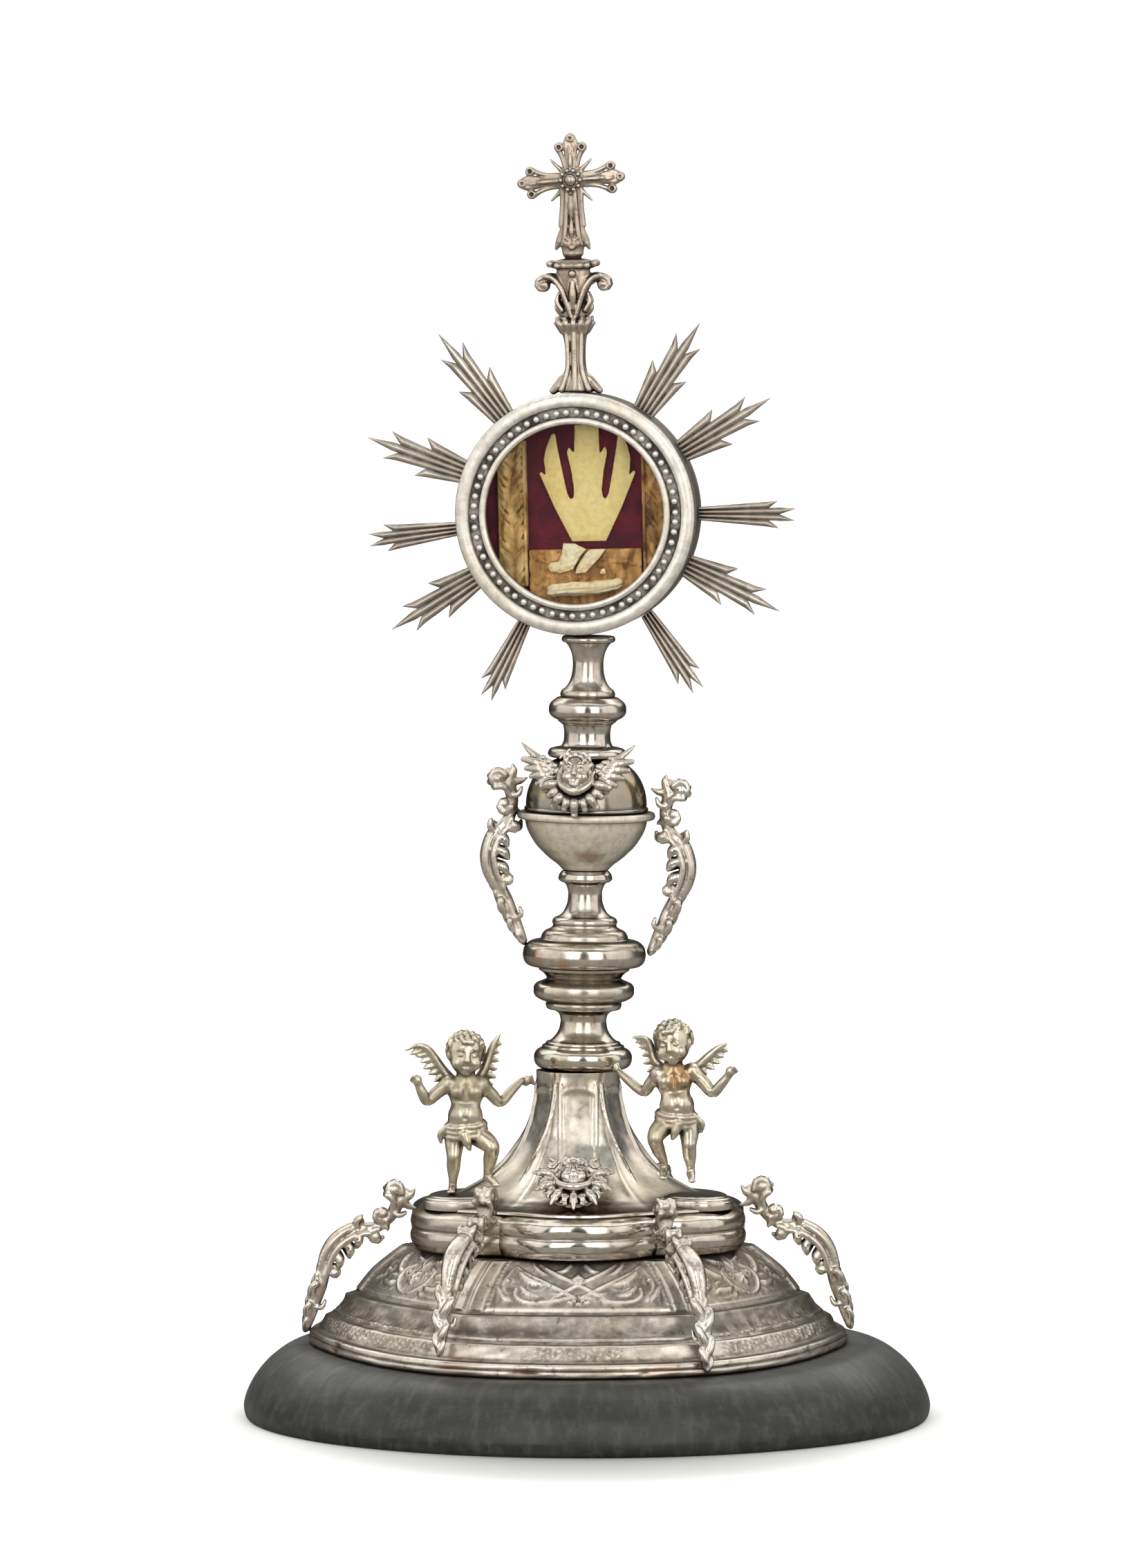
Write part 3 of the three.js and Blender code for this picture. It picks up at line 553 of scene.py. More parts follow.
def leaf(u, v, points, high):
    """A chased leaf: a broad stroke with a groove down its middle and notches along its edge."""
    line = curve(points, 5)
    best = np.zeros_like(u)
    run, notch = 0.0, 1.25
    for a, b in zip(line[:-1], line[1:]):
        size = math.hypot(b[0] - a[0], b[1] - a[1])
        t, gap = nearest(u, v, a, b)
        width = (a[2] + t * (b[2] - a[2])) * (1 - 0.16 * np.abs(np.sin((run + t * size) * PI / notch)))
        swell = dome(gap / np.maximum(width, 0.1)) * (1 - 0.35 * np.exp(-(gap / 0.35) ** 2))
        best = np.maximum(best, swell * np.minimum(width / 1.2, 1))
        run += size
    return best * high


def chased(u, v, marks):
    """The height of marks on both sides of the panel's middle, each given as a shape and its values."""
    return reduce(np.maximum, (shape(way, v, *values) for shape, *values in marks for way in (u, -u)))


def front_relief(u, v):
    """Crossed straps, a fan and leafy C-scrolls, chased on the front and back panels."""
    h = chased(u, v, [
        (stroke, [[-1.6, 4.6, 0.6], [-6, 3.2, 0.75], [-12, 2.2, 0.8], [-18, 2.4, 0.8],
            [-21.2, 4.6, 0.75], [-20.8, 7.6, 0.6]], 0.8),
        (stroke, [[-20.6, 17.6, 0.5], [-16.6, 13.8, 0.7], [-11.6, 10.6, 0.8], [-6.4, 7.4, 0.8],
            [-1.6, 4.2, 0.7], [2.0, 2.4, 0.5]], 0.9),
        (stroke, [[-12.6, 18.6, 0.5], [-8.4, 14.8, 0.8], [-3.6, 11.8, 0.8], [1.4, 8.6, 0.8],
            [5.8, 5.6, 0.7], [9.4, 3.4, 0.4]], 0.9),
        (stroke, [[-2.6, 18.4, 0.9], [-5.0, 15.6, 0.8], [-7.8, 15.2, 0.4]], 0.9),
        (stroke, [[-9.6, 9.4, 0.4], [-12.6, 7.0, 0.6], [-16.4, 7.2, 0.6], [-17.4, 10.0, 0.4]], 0.6),
        (stroke, [[-22.6, 3.0, 0.4], [-25.2, 8.0, 0.7], [-23.4, 13.2, 0.6], [-21.6, 16.8, 0.4]], 0.7),
        (stroke, [[-27.6, 1.8, 0.5], [-26.8, 6.4, 0.6], [-28.0, 10.4, 0.35]], 0.6),
        (leaf, [[-11.6, 9.4, 0.5], [-15.4, 10.4, 1.5], [-18.6, 13.0, 1.5], [-19.4, 16.6, 0.4]], 1.1),
        (leaf, [[-12.4, 5.0, 0.4], [-16.0, 5.0, 1.1], [-18.6, 7.0, 1.1], [-19.0, 9.6, 0.4]], 0.9),
        (leaf, [[-22.2, 2.4, 0.4], [-25.0, 3.6, 1.2], [-26.6, 6.2, 1.0], [-27.4, 9.6, 0.3]], 1.0),
        (leaf, [[-9.4, 13.4, 0.4], [-12.6, 15.0, 1.0], [-14.6, 18.0, 0.9], [-14.8, 20.6, 0.3]], 0.9),
        (leaf, [[-4.4, 6.2, 0.4], [-7.4, 5.2, 0.9], [-10.2, 6.2, 0.4]], 0.7),
        (scroll, (-23.6, 11.2), -60, 1.2, 1.9, 0.5, 0.8),
        (scroll, (-8.6, 3.8), 90, -1.0, 1.3, 0.45, 0.7),
    ])
    a, r = np.arctan2(u, v - 0.8), np.hypot(u, v - 0.8)
    fan = np.clip(1 - (r / 4.4) ** 6, 0, 1) * (v > 0.6) * (0.5 + 0.5 * np.cos(a * 11)) * np.clip(r / 1.2,
        0, 1)
    diamond = np.clip(1.4 - (np.abs(u) / 1.7 + np.abs(v - 12.0) / 2.2), 0, 1)
    return np.maximum.reduce([h, 0.8 * fan, 0.9 * diamond**0.5])


def side_relief(u, v):
    """Leafy scrolls round a flower, chased on the side panels."""
    h = chased(u, v, [
        (stroke, [[0, 1.4, 0.6], [-5, 2.8, 0.75], [-9.4, 6.8, 0.8], [-9, 11.6, 0.7], [-5.6, 13.8, 0.5]]),
        (stroke, [[-11, 2, 0.4], [-16, 1.4, 0.6], [-20.4, 1.3, 0.3]], 0.6),
        (stroke, [[0, 12.6, 0.6], [-1.6, 15.6, 0.8], [-0.2, 20, 0.4]], 0.8),
        (leaf, [[-8.8, 5.8, 0.5], [-13.2, 4.2, 1.4], [-18, 4.6, 1.2], [-22, 3.0, 0.3]], 1.0),
        (leaf, [[-10, 9.4, 0.5], [-14, 10.8, 1.5], [-16.8, 14.6, 1.2], [-16.4, 18.6, 0.3]], 1.0),
        (leaf, [[-20.6, 6.4, 0.4], [-24.6, 5.6, 1.1], [-28.2, 2.6, 0.3]], 0.8),
        (leaf, [[-3.2, 16.2, 0.4], [-7.2, 16.8, 1.1], [-11.4, 19.4, 0.3]], 0.9),
        (leaf, [[-6.8, 4.6, 0.3], [-10.6, 1.8, 0.8], [-13.6, 1.2, 0.3]], 0.7),
        (leaf, [[-11.6, 7.6, 0.3], [-15.4, 7.8, 0.9], [-18.6, 6.6, 0.3]], 0.8),
        (leaf, [[-19.0, 12.6, 0.3], [-22.2, 13.0, 0.9], [-24.2, 10.2, 0.3]], 0.8),
        (scroll, (-5.4, 10.2), 100, 1.3, 2.7, 0.55),
        (scroll, (-20.2, 9.4), -110, -1.2, 2.6, 0.55),
    ])
    r, petals = np.hypot(u, v - 8.0), np.cos(5 * np.arctan2(v - 8.0, u) + 0.6)
    flower = np.clip(1.15 - (r / (2.6 + 0.6 * petals)) ** 3, 0, 1) * (0.7 + 0.3 * petals)
    return np.maximum.reduce([h, 0.95 * flower, 1.2 * dome(r / 1.1)])


FOOT_LEVELS = [  # height over the wood, corner radius, share of the hexagon, rise of the arc ending there
    [0.25, 90.6, 0.05, 0], [0.5, 91.8, 0.06, -0.2], [2.5, 92.25, 0.08, -0.3], [2.85, 91.6, 0.09, 0.2],
    [4.9, 91.0, 0.1, -0.45], [5.3, 88.9, 0.15, 0.1], [5.7, 88.3, 0.16, 0], [9.5, 86.4, 0.25, -0.02],
    [9.9, 85.4, 0.27, -0.2], [10.2, 84.4, 0.3, 0.2], [10.7, 83.6, 0.33, 0], [11.4, 83.5, 0.38, -0.3],
    [12.0, 82.6, 0.44, 0.2], [16.7, 79.3, 0.5, 0.13], [17.2, 77.4, 0.53, -0.2], [17.9, 76.0, 0.55, 0.3],
    [25, 70.4, 0.62, -0.03], [33.4, 59.7, 0.62, -0.035],
]
PANEL_FOOT, PANEL_LENGTH = 17.9, 25


def sag(a):
    """How far the front of the flange and of the wood under it lie lower than the rest."""
    return 2.4 * rise(-np.sin(a), 0.25, 0.98)


STEP_BAND, RIM_BAND, PLAIN_BAND = (5.9, 9.4), (10.4, 13.2), (12.0, 17.2)  # heights over the wood
DENTS = [  # in the flange: direction in degrees, height over the wood, size, depth
    (-63.5, 3.6, 1.6, 0.8), (-100, 1.6, 2.4, 0.5), (-76, 2.0, 1.5, 0.4), (205, 2.4, 2.5, 0.5),
    (-30, 3.8, 2.0, 0.5), (60, 2.2, 3.0, 0.5), (131, 3.4, 2.4, 0.6),
]
SEAMS = ((17.6, 0.5), (11.9, 0.55), (10.4, 0.5), (5.75, 0.5), (2.85, 0.35))  # height over the wood, width


def foot():
    rows = [FOOT_LEVELS[0][:3]]
    for (h0, r0, s0, _), (h1, r1, s1, bulge) in zip(FOOT_LEVELS, FOOT_LEVELS[1:]):
        arc = outline([[r0, h0], [r1, h1, -bulge]], 0.5)
        t = np.linspace(0, 1, len(arc))
        rows += [[p[1], p[0], s0 + (s1 - s0) * q] for p, q in zip(arc[1:], t[1:])]
    rows = np.array(rows)
    h, r, share = (rows[:, i : i + 1] for i in range(3))
    # finer towards the front, where the chasing is looked at
    counts = (100, 88, 100, 128, 146, 128)
    a = np.concatenate([(k + np.arange(n) / n) * PI / 3 for k, n in enumerate(counts)])[None]
    facet = np.floor_divide(a, PI / 3).astype(int)
    broad = facet % 3 == 1  # the front and the back panel
    rho = r * hexagonal(a, share)
    # u runs across a facet, v up its slope from the foot of the panel
    u = rho * np.sin(np.mod(a, PI / 3) - PI / 6)
    apothem = r[:, 0] * (1 - share[:, 0] * (1 - math.cos(PI / 6)))
    v = np.concatenate([[0], np.cumsum(np.hypot(np.diff(apothem), np.diff(h[:, 0])))])
    v = (v - v[int(np.argmax(h[:, 0] >= PANEL_FOOT - 0.01))])[:, None] + 0 * a
    edge = r * 0.5 - np.abs(u)  # distance in from the sloping edge of the facet
    inside = (v > 0) & (v < PANEL_LENGTH)
    raised = 0.7 * (1 - rise(edge, 5.4, 6.0)) * rise(edge, 0.6, 1.6)
    field = (v > 1.2) & (edge > 6.1) & inside
    # a beaded thread runs inside the raised frame
    thread = dome((edge - 6.9) / 0.62) * (0.55 + 0.45 * np.cos(v * 2 * PI / 1.7))
    bottom = dome((v - 1.2) / 0.6) * (edge > 6.5)
    relief = np.where(broad, front_relief(u, v - 1.9), side_relief(u, v - 1.9))
    lower = rise(v, 1.2, 2.2) * rise(edge, 6.9, 7.8)
    tooling = np.sin(u * 3.1 + 1.3 * np.sin(v * 2.3)) * np.sin(v * 3.4 + 1.1 * np.sin(u * 1.7 + facet))
    height = np.where(inside, raised + 0.3 * np.maximum(thread, bottom), 0)
    height = height + np.where(field, lower * (1.05 * relief + 0.10 * tooling * (relief < 0.05)), 0)
    # the step over the flange is chased with a fine running pattern, on the front only in its middle
    step, rim, plain = ((h > low) & (h < high) for low, high in (STEP_BAND, RIM_BAND, PLAIN_BAND))
    wave = np.sin(u * 1.9 + 1.7 * np.sin(h * 1.6)) * np.sin(h * 2.6 + 1.4 * np.sin(u * 1.25))
    wave = wave + 0.5 * np.sin(u * 3.7 + h * 2.1) * np.sin(u * 2.3 - h * 3.3)
    reach = np.where(broad, rise(17 - np.abs(u), 0, 3), rise(40 - np.abs(u), 0, 4))
    height = height + np.where(step, 0.30 * reach * np.clip(wave, -0.2, 1), 0)
    height = height + np.where(rim & ~broad, 0.16 * np.clip(wave, -0.3, 1), 0)
    # age has left small dents and waves in the flange
    wear = 0.12 * np.sin(5 * a + 0.7) * np.sin(h * 0.7)
    wear = wear + 0.07 * np.sin(23 * a + h) + 0.05 * np.sin(41 * a - 2 * h)
    for angle, at, size, deep in DENTS:
        away = np.hypot(90 * (np.mod(a - math.radians(angle) + PI, 2 * PI) - PI), h - at)
        wear = wear - deep * np.exp(-(away / size) ** 2)
    height = height + wear * (h < 17)
    # relief stands square to the slope
    slope = np.gradient(r[:, 0], h[:, 0])[:, None]
    up = np.clip(-slope / np.hypot(1, slope), 0, 1)
    z = np.minimum(WOOD_TOP + h + height * up * (h > 6), FOOT_TOP - 0.02) - sag(a) * rise(-h, -19, -4)
    # how dark each point's ground is
    dark = np.where(field, rise(-relief, -0.5, -0.08) * lower, 0)
    grooves = inside * rise(-(raised + thread + bottom), -0.35, -0.05) * (edge > 0.3) * (edge < 7.2)
    dark = np.maximum(dark, grooves) * np.where(broad, 0.72, 0.55)
    seam = reduce(np.maximum, (np.exp(-(((h - level) / wide) ** 2)) for level, wide in SEAMS))
    chase = (step | rim & ~broad) * reach * rise(-wave, -0.5, 0.1)
    # the plain band over the step is dulled, most along its foot
    dull = plain * (0.56 + 0.30 * rise(-h, -15.5, -12.5))
    dark = reduce(np.maximum, [dark, 0.85 * seam, 0.6 * chase, dull])
    return (*skin(around(rho + height * np.sqrt(1 - up**2), z, a)), np.concatenate([dark.ravel(), [0, 0]]))


# The shoulder
def six_lobes(angle):
    fold = np.mod(angle, PI / 3) - PI / 6
    return LOBE_CENTRE * np.cos(fold) + np.sqrt(LOBE_RADIUS**2 - (LOBE_CENTRE * np.sin(fold)) ** 2)


def shoulder():
    line = outline([[5.4, 59.25], [3.0, 59.5, 0.1], [1.3, 60.7, -0.3], [0.1, 63.6, -0.16],
        [0.75, 66.4, -0.22], [0.85, 66.9, 0.4], [0.5, 67.5, 0.2], [0.4, 70.2, -0.12], [1.7, 72.2, -0.25],
        [4.8, 73.48, -0.12], [9, 73.7]], 0.55)
    # the first number is how far in from the lobes' outline, so the arcs bulge the other way here
    a = fan_angles(330)
    inset, z = line[:, 0:1], line[:, 1:2]
    wave = 0.06 * np.sin(9 * a + 0.3 * z) + 0.05 * np.sin(17 * a - z)
    return skin(around(six_lobes(a) - inset + wave * (inset < 3), z, a))


# The bell
BELL_LEVELS = [  # height, radius, depth of the six-fold hollow
    [73.75, 53.0, -0.045], [74.6, 52.6, -0.043], [75.0, 50.0, -0.035], [75.5, 47.0, -0.022],
    [76.4, 43.2, -0.008], [78.4, 37.0, 0.020], [83.2, 28.6, 0.040], [89.0, 22.9, 0.048],
    [95.4, 18.9, 0.046], [102.4, 15.9, 0.040], [110.0, 14.2, 0.034], [115.5, 13.9, 0.028],
    [118.9, 14.0, 0.02],
]


def bell():
    rows = curve([[*row[:2], row[2] + 1] for row in BELL_LEVELS], 12)
    rows[:, 2] -= 1
    # even steps along the profile
    run = np.concatenate([[0], np.cumsum(np.hypot(*np.diff(rows[:, :2], axis=0).T))])
    even = np.linspace(0, run[-1], 92)
    z, r, depth = (np.interp(even, run, rows[:, i])[:, None] for i in range(3))
    a = fan_angles(300)[None]
    rho = r * (1 + depth * np.cos(6 * a))
    fold = np.mod(a, PI / 3) - PI / 6
    x = rho * np.sin(fold)
    bow = 6.1 + 0.035 * np.clip(93 - z, 0, None) ** 2
    rib = np.clip(1 - ((np.abs(x) - bow) / 0.75) ** 2, 0, 1) ** 0.7 * rise(z, 81.5, 85) * rise(-z, -116.5,
        -113)
    arch = np.clip(1 - ((z - 113.4 + 0.055 * x * x) / 0.7) ** 2, 0, 1) ** 0.7 * (np.abs(x) < 6.0)
    ridge = np.exp(-((PI / 6 - np.abs(fold)) * rho / 1.7) ** 2) * rise(z, 74.6, 77) * rise(-z, -104, -90)
    sink = rise(bow - np.abs(x), 0, 1.5) * rise(z, 84, 90) * rise(-z, -114, -111)
    scoop = np.exp(-((z - 78.2) / 2.0) ** 2) * rise(20 - np.abs(x), 0, 12)
    wave = 0.05 * np.sin(7 * a + 0.2 * z) + 0.05 * np.sin(z * 0.9 + 4 * a)
    height = np.maximum(0.6 * rib, 0.25 * arch) + 0.95 * ridge - 0.3 * sink - 0.5 * scoop + wave
    rho = rho + height * rise(z, 74.4, 75.2)
    pad = turned([[12.2, 73.9], [12.3, 76.4, 0.1], [11.9, 77.4, -0.3], [10.4, 77.9, 0.25],
        [9.9, 78.35, -0.3], [6, 78.55], [1, PAD_TOP]], 60, 1.2)
    pads = [(pad[0] + (side * PAD_CENTRE[0], PAD_CENTRE[1], 0), *pad[1:]) for side in (-1, 1)]
    return merged([skin(around(rho, z, a)), *pads])


# The turned stem: [radius, height, rise of the arc that ends there]
LOWER_STEM = [[0.5, 119.3], [13.2, 119.3], [14.2, 119.5, 0.2], [15.9, 120.4, 0.2], [16.75, 122.6, 0.2],
    [16.2, 125.2, 0.2], [14.6, 126.4, 0.15], [14.1, 126.6], [14.0, 127.3], [12.9, 127.7, 0.2],
    [12.5, 128.6, 0.2], [10.2, 130.0, -0.2], [8.3, 133.0, -0.12], [7.85, 135.6, -0.05],
    [8.4, 138.0, -0.1], [9.6, 138.9, -0.1], [12.0, 139.6, -0.1], [12.8, 140.4, 0.3], [12.9, 141.9, 0.2],
    [13.4, 142.4], [15.8, 143.4, 0.1], [17.2, 146.2, 0.35], [15.8, 148.8, 0.35], [13.2, 149.9],
    [12.8, 150.3, -0.2], [13.6, 151.6, -0.2], [15.4, 153.0, -0.1], [15.6, 153.9, 0.1], [0.5, 153.9]]
BALUSTER = [[0.5, 154.3], [17.9, 154.3], [19.6, 154.9, 0.15], [20.9, 157.2, 0.2], [20.9, 159.4, 0.12],
    [19.8, 161.9, 0.2], [17.6, 163.2, 0.15], [15.4, 163.6], [14.9, 164.0, -0.2], [14.2, 165.8, 0.15],
    [12.6, 166.9, 0.2], [11.2, 167.7], [10.8, 168.6, -0.1], [10.9, 170.4, 0.3], [9.6, 171.3, 0.2],
    [7.4, 173.0, -0.15], [6.0, 176.4, -0.08], [5.8, 179.6, -0.04], [6.6, 182.2, -0.08],
    [7.6, 183.1, -0.1], [8.8, 183.6, 0.2], [9.1, 185.0, 0.4], [8.5, 186.4, 0.2], [7.9, 187.1],
    [0.5, 187.1]]
CUP = [[0.5, 187.5], [8.0, 187.5], [10.4, 189.8, -0.06], [14.9, 193.6, 0.06], [18.2, 197.6, 0.08],
    [20.2, 201.4, 0.06], [20.8, 204.0, 0.04], [21.0, 204.4], [22.7, 204.7, -0.1], [23.2, 205.0, 0.2],
    [23.5, 206.2, 0.3], [22.9, 207.2, 0.3], [0.5, 207.3]]
COVER = [[0.5, 207.7], [21.0, 207.7], [21.1, 208.6, 0.3], [20.6, 209.0, 0.2], [20.5, 211.6, 0.05],
    [19.4, 216.2, 0.08], [16.8, 220.7, 0.08], [13.2, 223.8, 0.06], [10, 225.3, 0.04], [0.5, 225.3]]
NECK = [[0.5, 225.7], [11.9, 225.7], [13.0, 226.2, 0.2], [13.3, 227.4, 0.3], [12.4, 228.8, 0.2],
    [10.6, 229.3], [8.8, 229.7, -0.1], [8.0, 231.6, -0.1], [7.9, 234.4, -0.04], [8.3, 236.8, -0.05],
    [9.0, 237.4, 0.2], [9.9, 238.0, 0.1], [10.4, 238.6, -0.1], [12.4, 239.8, 0.1], [13.2, 242.2, 0.25],
    [12.1, 244.9, 0.25], [10.4, 246.2], [9.2, 246.6, -0.1], [9.1, 248.2, 0.3], [8.6, 248.9, 0.2],
    [7.0, 250.4, -0.1], [5.7, 253.4, -0.1], [5.25, 256.8, -0.05], [5.7, 261.2, -0.08],
    [7.2, 264.2, -0.08], [7.9, 264.9], [9.0, 265.4, 0.2], [9.0, 266.7, 0.3], [8.6, 267.2, 0.1],
    [0.5, 267.3]]


# Cast scroll brackets
FLAT = ((1, 0, 0), (0, 0, 1))


def bracket(grain=0.5):
    """In its own plane: x points outwards, z up, and its tail is at 0, 0."""
    clay = Clay((-3, -6, -1.5), (21, 6, 62.5), grain)
    # the S of the spine, slim at the tail
    clay.rod([[0.3, 0, 0.4, 1.1], [2.6, 0, 4.6, 1.7], [5.2, 0, 9.4, 2.1], [7.6, 0, 14.2, 2.3],
        [11.0, 0, 19.4, 2.4], [13.4, 0, 24.4, 2.5], [14.0, 0, 29.6, 2.6], [12.8, 0, 34.8, 2.5],
        [9.8, 0, 38.8, 2.3], [7.9, 0, 43, 2.0], [7.6, 0, 48.4, 2.1], [9.2, 0, 53.6, 2.3]], 0.5)
    # the long smooth leaf down its outer side
    clay.rod([[10.6, 0, 39.2, 1.8], [13.6, 0, 35.6, 3.0], [15.2, 0, 29.8, 3.5], [14.6, 0, 24.4, 3.2],
              [11.9, 0, 18.8, 2.3], [10.0, 0, 15.6, 1.3]], 0.5, ((1, 0, 0), 0.62))
    for _ in clay.mirrored(1):
        # ribs beside the leaf, with a groove between
        clay.rod([[8.4, 2.0, 38.8, 0.9], [11.2, 3.0, 34.8, 1.1], [12.6, 3.4, 29.4, 1.15],
                  [11.8, 3.1, 24.4, 1.1], [9.4, 2.4, 19.4, 0.95], [7.2, 1.8, 15.2, 0.8]], 0.35)
        clay.rod([[12.0, 3.6, 36.0, 0.3], [14.0, 3.9, 30.0, 0.45], [13.2, 3.7, 24.0, 0.4],
                  [10.6, 2.9, 18.6, 0.3]], 0.4, cut=True)
        # volutes on both faces
        clay.curl((7.4, 2.0, 20.4), FLAT, -60, 1.1, 2.8, 1.15, 0.4)
        clay.curl((6.0, 1.8, 39.4), FLAT, 60, -1.1, 2.6, 1.1, 0.4)
        clay.curl((9.9, 1.8, 46.6), FLAT, 200, 1.2, 2.5, 1.05, 0.4)
        clay.curl((13.2, 2.3, 55.0), FLAT, 150, -1.3, 3.1, 1.1, 0.5)
        clay.rod([[8.6, 1.4, 50, 1.1], [10.6, 2.2, 52.4, 1.2], [13.4, 2.8, 52.2, 1.1]], 0.4)
        # leaf tips along the hollow side of the scroll
        for x, z, long_ in ((11.4, 35.4, 0.9), (12.0, 31.0, 1.25), (11.2, 25.8, 1.0)):
            clay.rod([[x, 2.0, z, 1.6], [x - 2.3 * long_, 3.0, z - 0.9, 1.6],
                      [x - 3.5 * long_, 2.6, z - 2.9, 0.8]], 0.3)
            clay.rod([[x - 1.0, 3.6, z - 0.4, 0.25], [x - 3.0 * long_, 4.3, z - 2.0, 0.3]], 0.3, cut=True)
        clay.rod([[12.2, 1.2, 36.8, 1.2], [14.4, 2.3, 38.4, 1.2], [14.4, 2.7, 40.6, 0.8]], 0.4)
        clay.rod([[8.4, 1.2, 44.0, 1.1], [10.8, 2.0, 43.8, 1.1], [12.0, 2.3, 45.6, 0.8]], 0.4)
        clay.rod([[8.2, 1.2, 49.4, 1.1], [5.6, 2.0, 50.2, 1.0], [4.6, 2.1, 52.4, 0.6]], 0.4)
        clay.rod([[3.6, 1.0, 7.6, 1.0], [2.0, 1.9, 9.2, 0.9], [2.6, 2.2, 11.4, 0.6]], 0.35)
    # curled acanthus tips low down, to one side and then the other
    for x, z, k, side in ((9.6, 14.6, 1.1, -1), (8.4, 11.4, 1.05, 1), (6.4, 8.0, 1.0, -1),
            (4.9, 5.2, 0.85, 1), (3.1, 2.9, 0.8, -1), (1.8, 1.2, 0.6, 1)):
        clay.rod([[x - 1.4, 0, z - 1.8, 1.5 * k], [x, side * 1.5 * k, z - 0.8, 1.5 * k],
            [x + 1.0, side * 2.6 * k, z + 1.0, 1.15 * k],
            [x + 0.7, side * 2.4 * k, z + 2.6 * k, 0.7 * k]], 0.4)
        clay.ball((x + 0.8, side * 2.5 * k, z + 2.0 * k), 1.3 * k, 0.3)
        clay.rod([[x - 1.0, side * -0.8, z - 0.8, 1.3 * k],
            [x + 1.5 * k, side * -1.3, z + 1.4 * k, 0.9 * k]], 0.35)
    for x, z, r in ((7.2, 20.6, 1.9), (13.9, 39.2, 1.7), (11.2, 45.3, 1.7), (1.3, 1.7, 1.2),
            (9.6, 57.6, 1.4)):
        clay.ball((x, 0, z), r, 0.5)
    clay.rod([[13.0, 0, 30.6, 1.8], [10.2, 0, 29.2, 1.4], [8.0, 0, 27.6, 0.5]], 0.5)
    clay.rod([[9.4, 0, 39.8, 1.8], [6.8, 0, 38.4, 1.6], [4.6, 0, 38.8, 1.2], [4.2, 0, 40.8, 0.8]], 0.5)
    clay.rod([[8.0, 0, 43.4, 1.5], [6.2, 0, 44.4, 1.2], [4.5, 0, 43.8, 0.5]], 0.4)
    clay.rod([[8.6, 0, 54.4, 1.7], [5.4, 0, 54.6, 1.2], [3.0, 0, 55.9, 0.4]], 0.5)
    clay.rod([[8.8, 0, 55.4, 1.8], [7.8, 0, 57.8, 1.4], [8.2, 0, 60.0, 0.6]], 0.5)
    # the curly head
    clay.ball((13.0, 0, 54.8), (3.3, 3.1, 3.4), 0.9)
    for k in range(7):
        a = math.radians(-70 + 45 * k)
        clay.ball((13.0 + 2.8 * math.cos(a), 0.9 * (-1) ** k, 54.8 + 2.9 * math.sin(a)), 1.2, 0.3)
    # creases
    clay.rod([[17.2, 0, 34.0, 0.4], [18.1, 0, 29.4, 0.5], [17.1, 0, 24.6, 0.5], [13.8, 0, 18.8, 0.35]],
        0.5, cut=True)
    return clay.mesh()


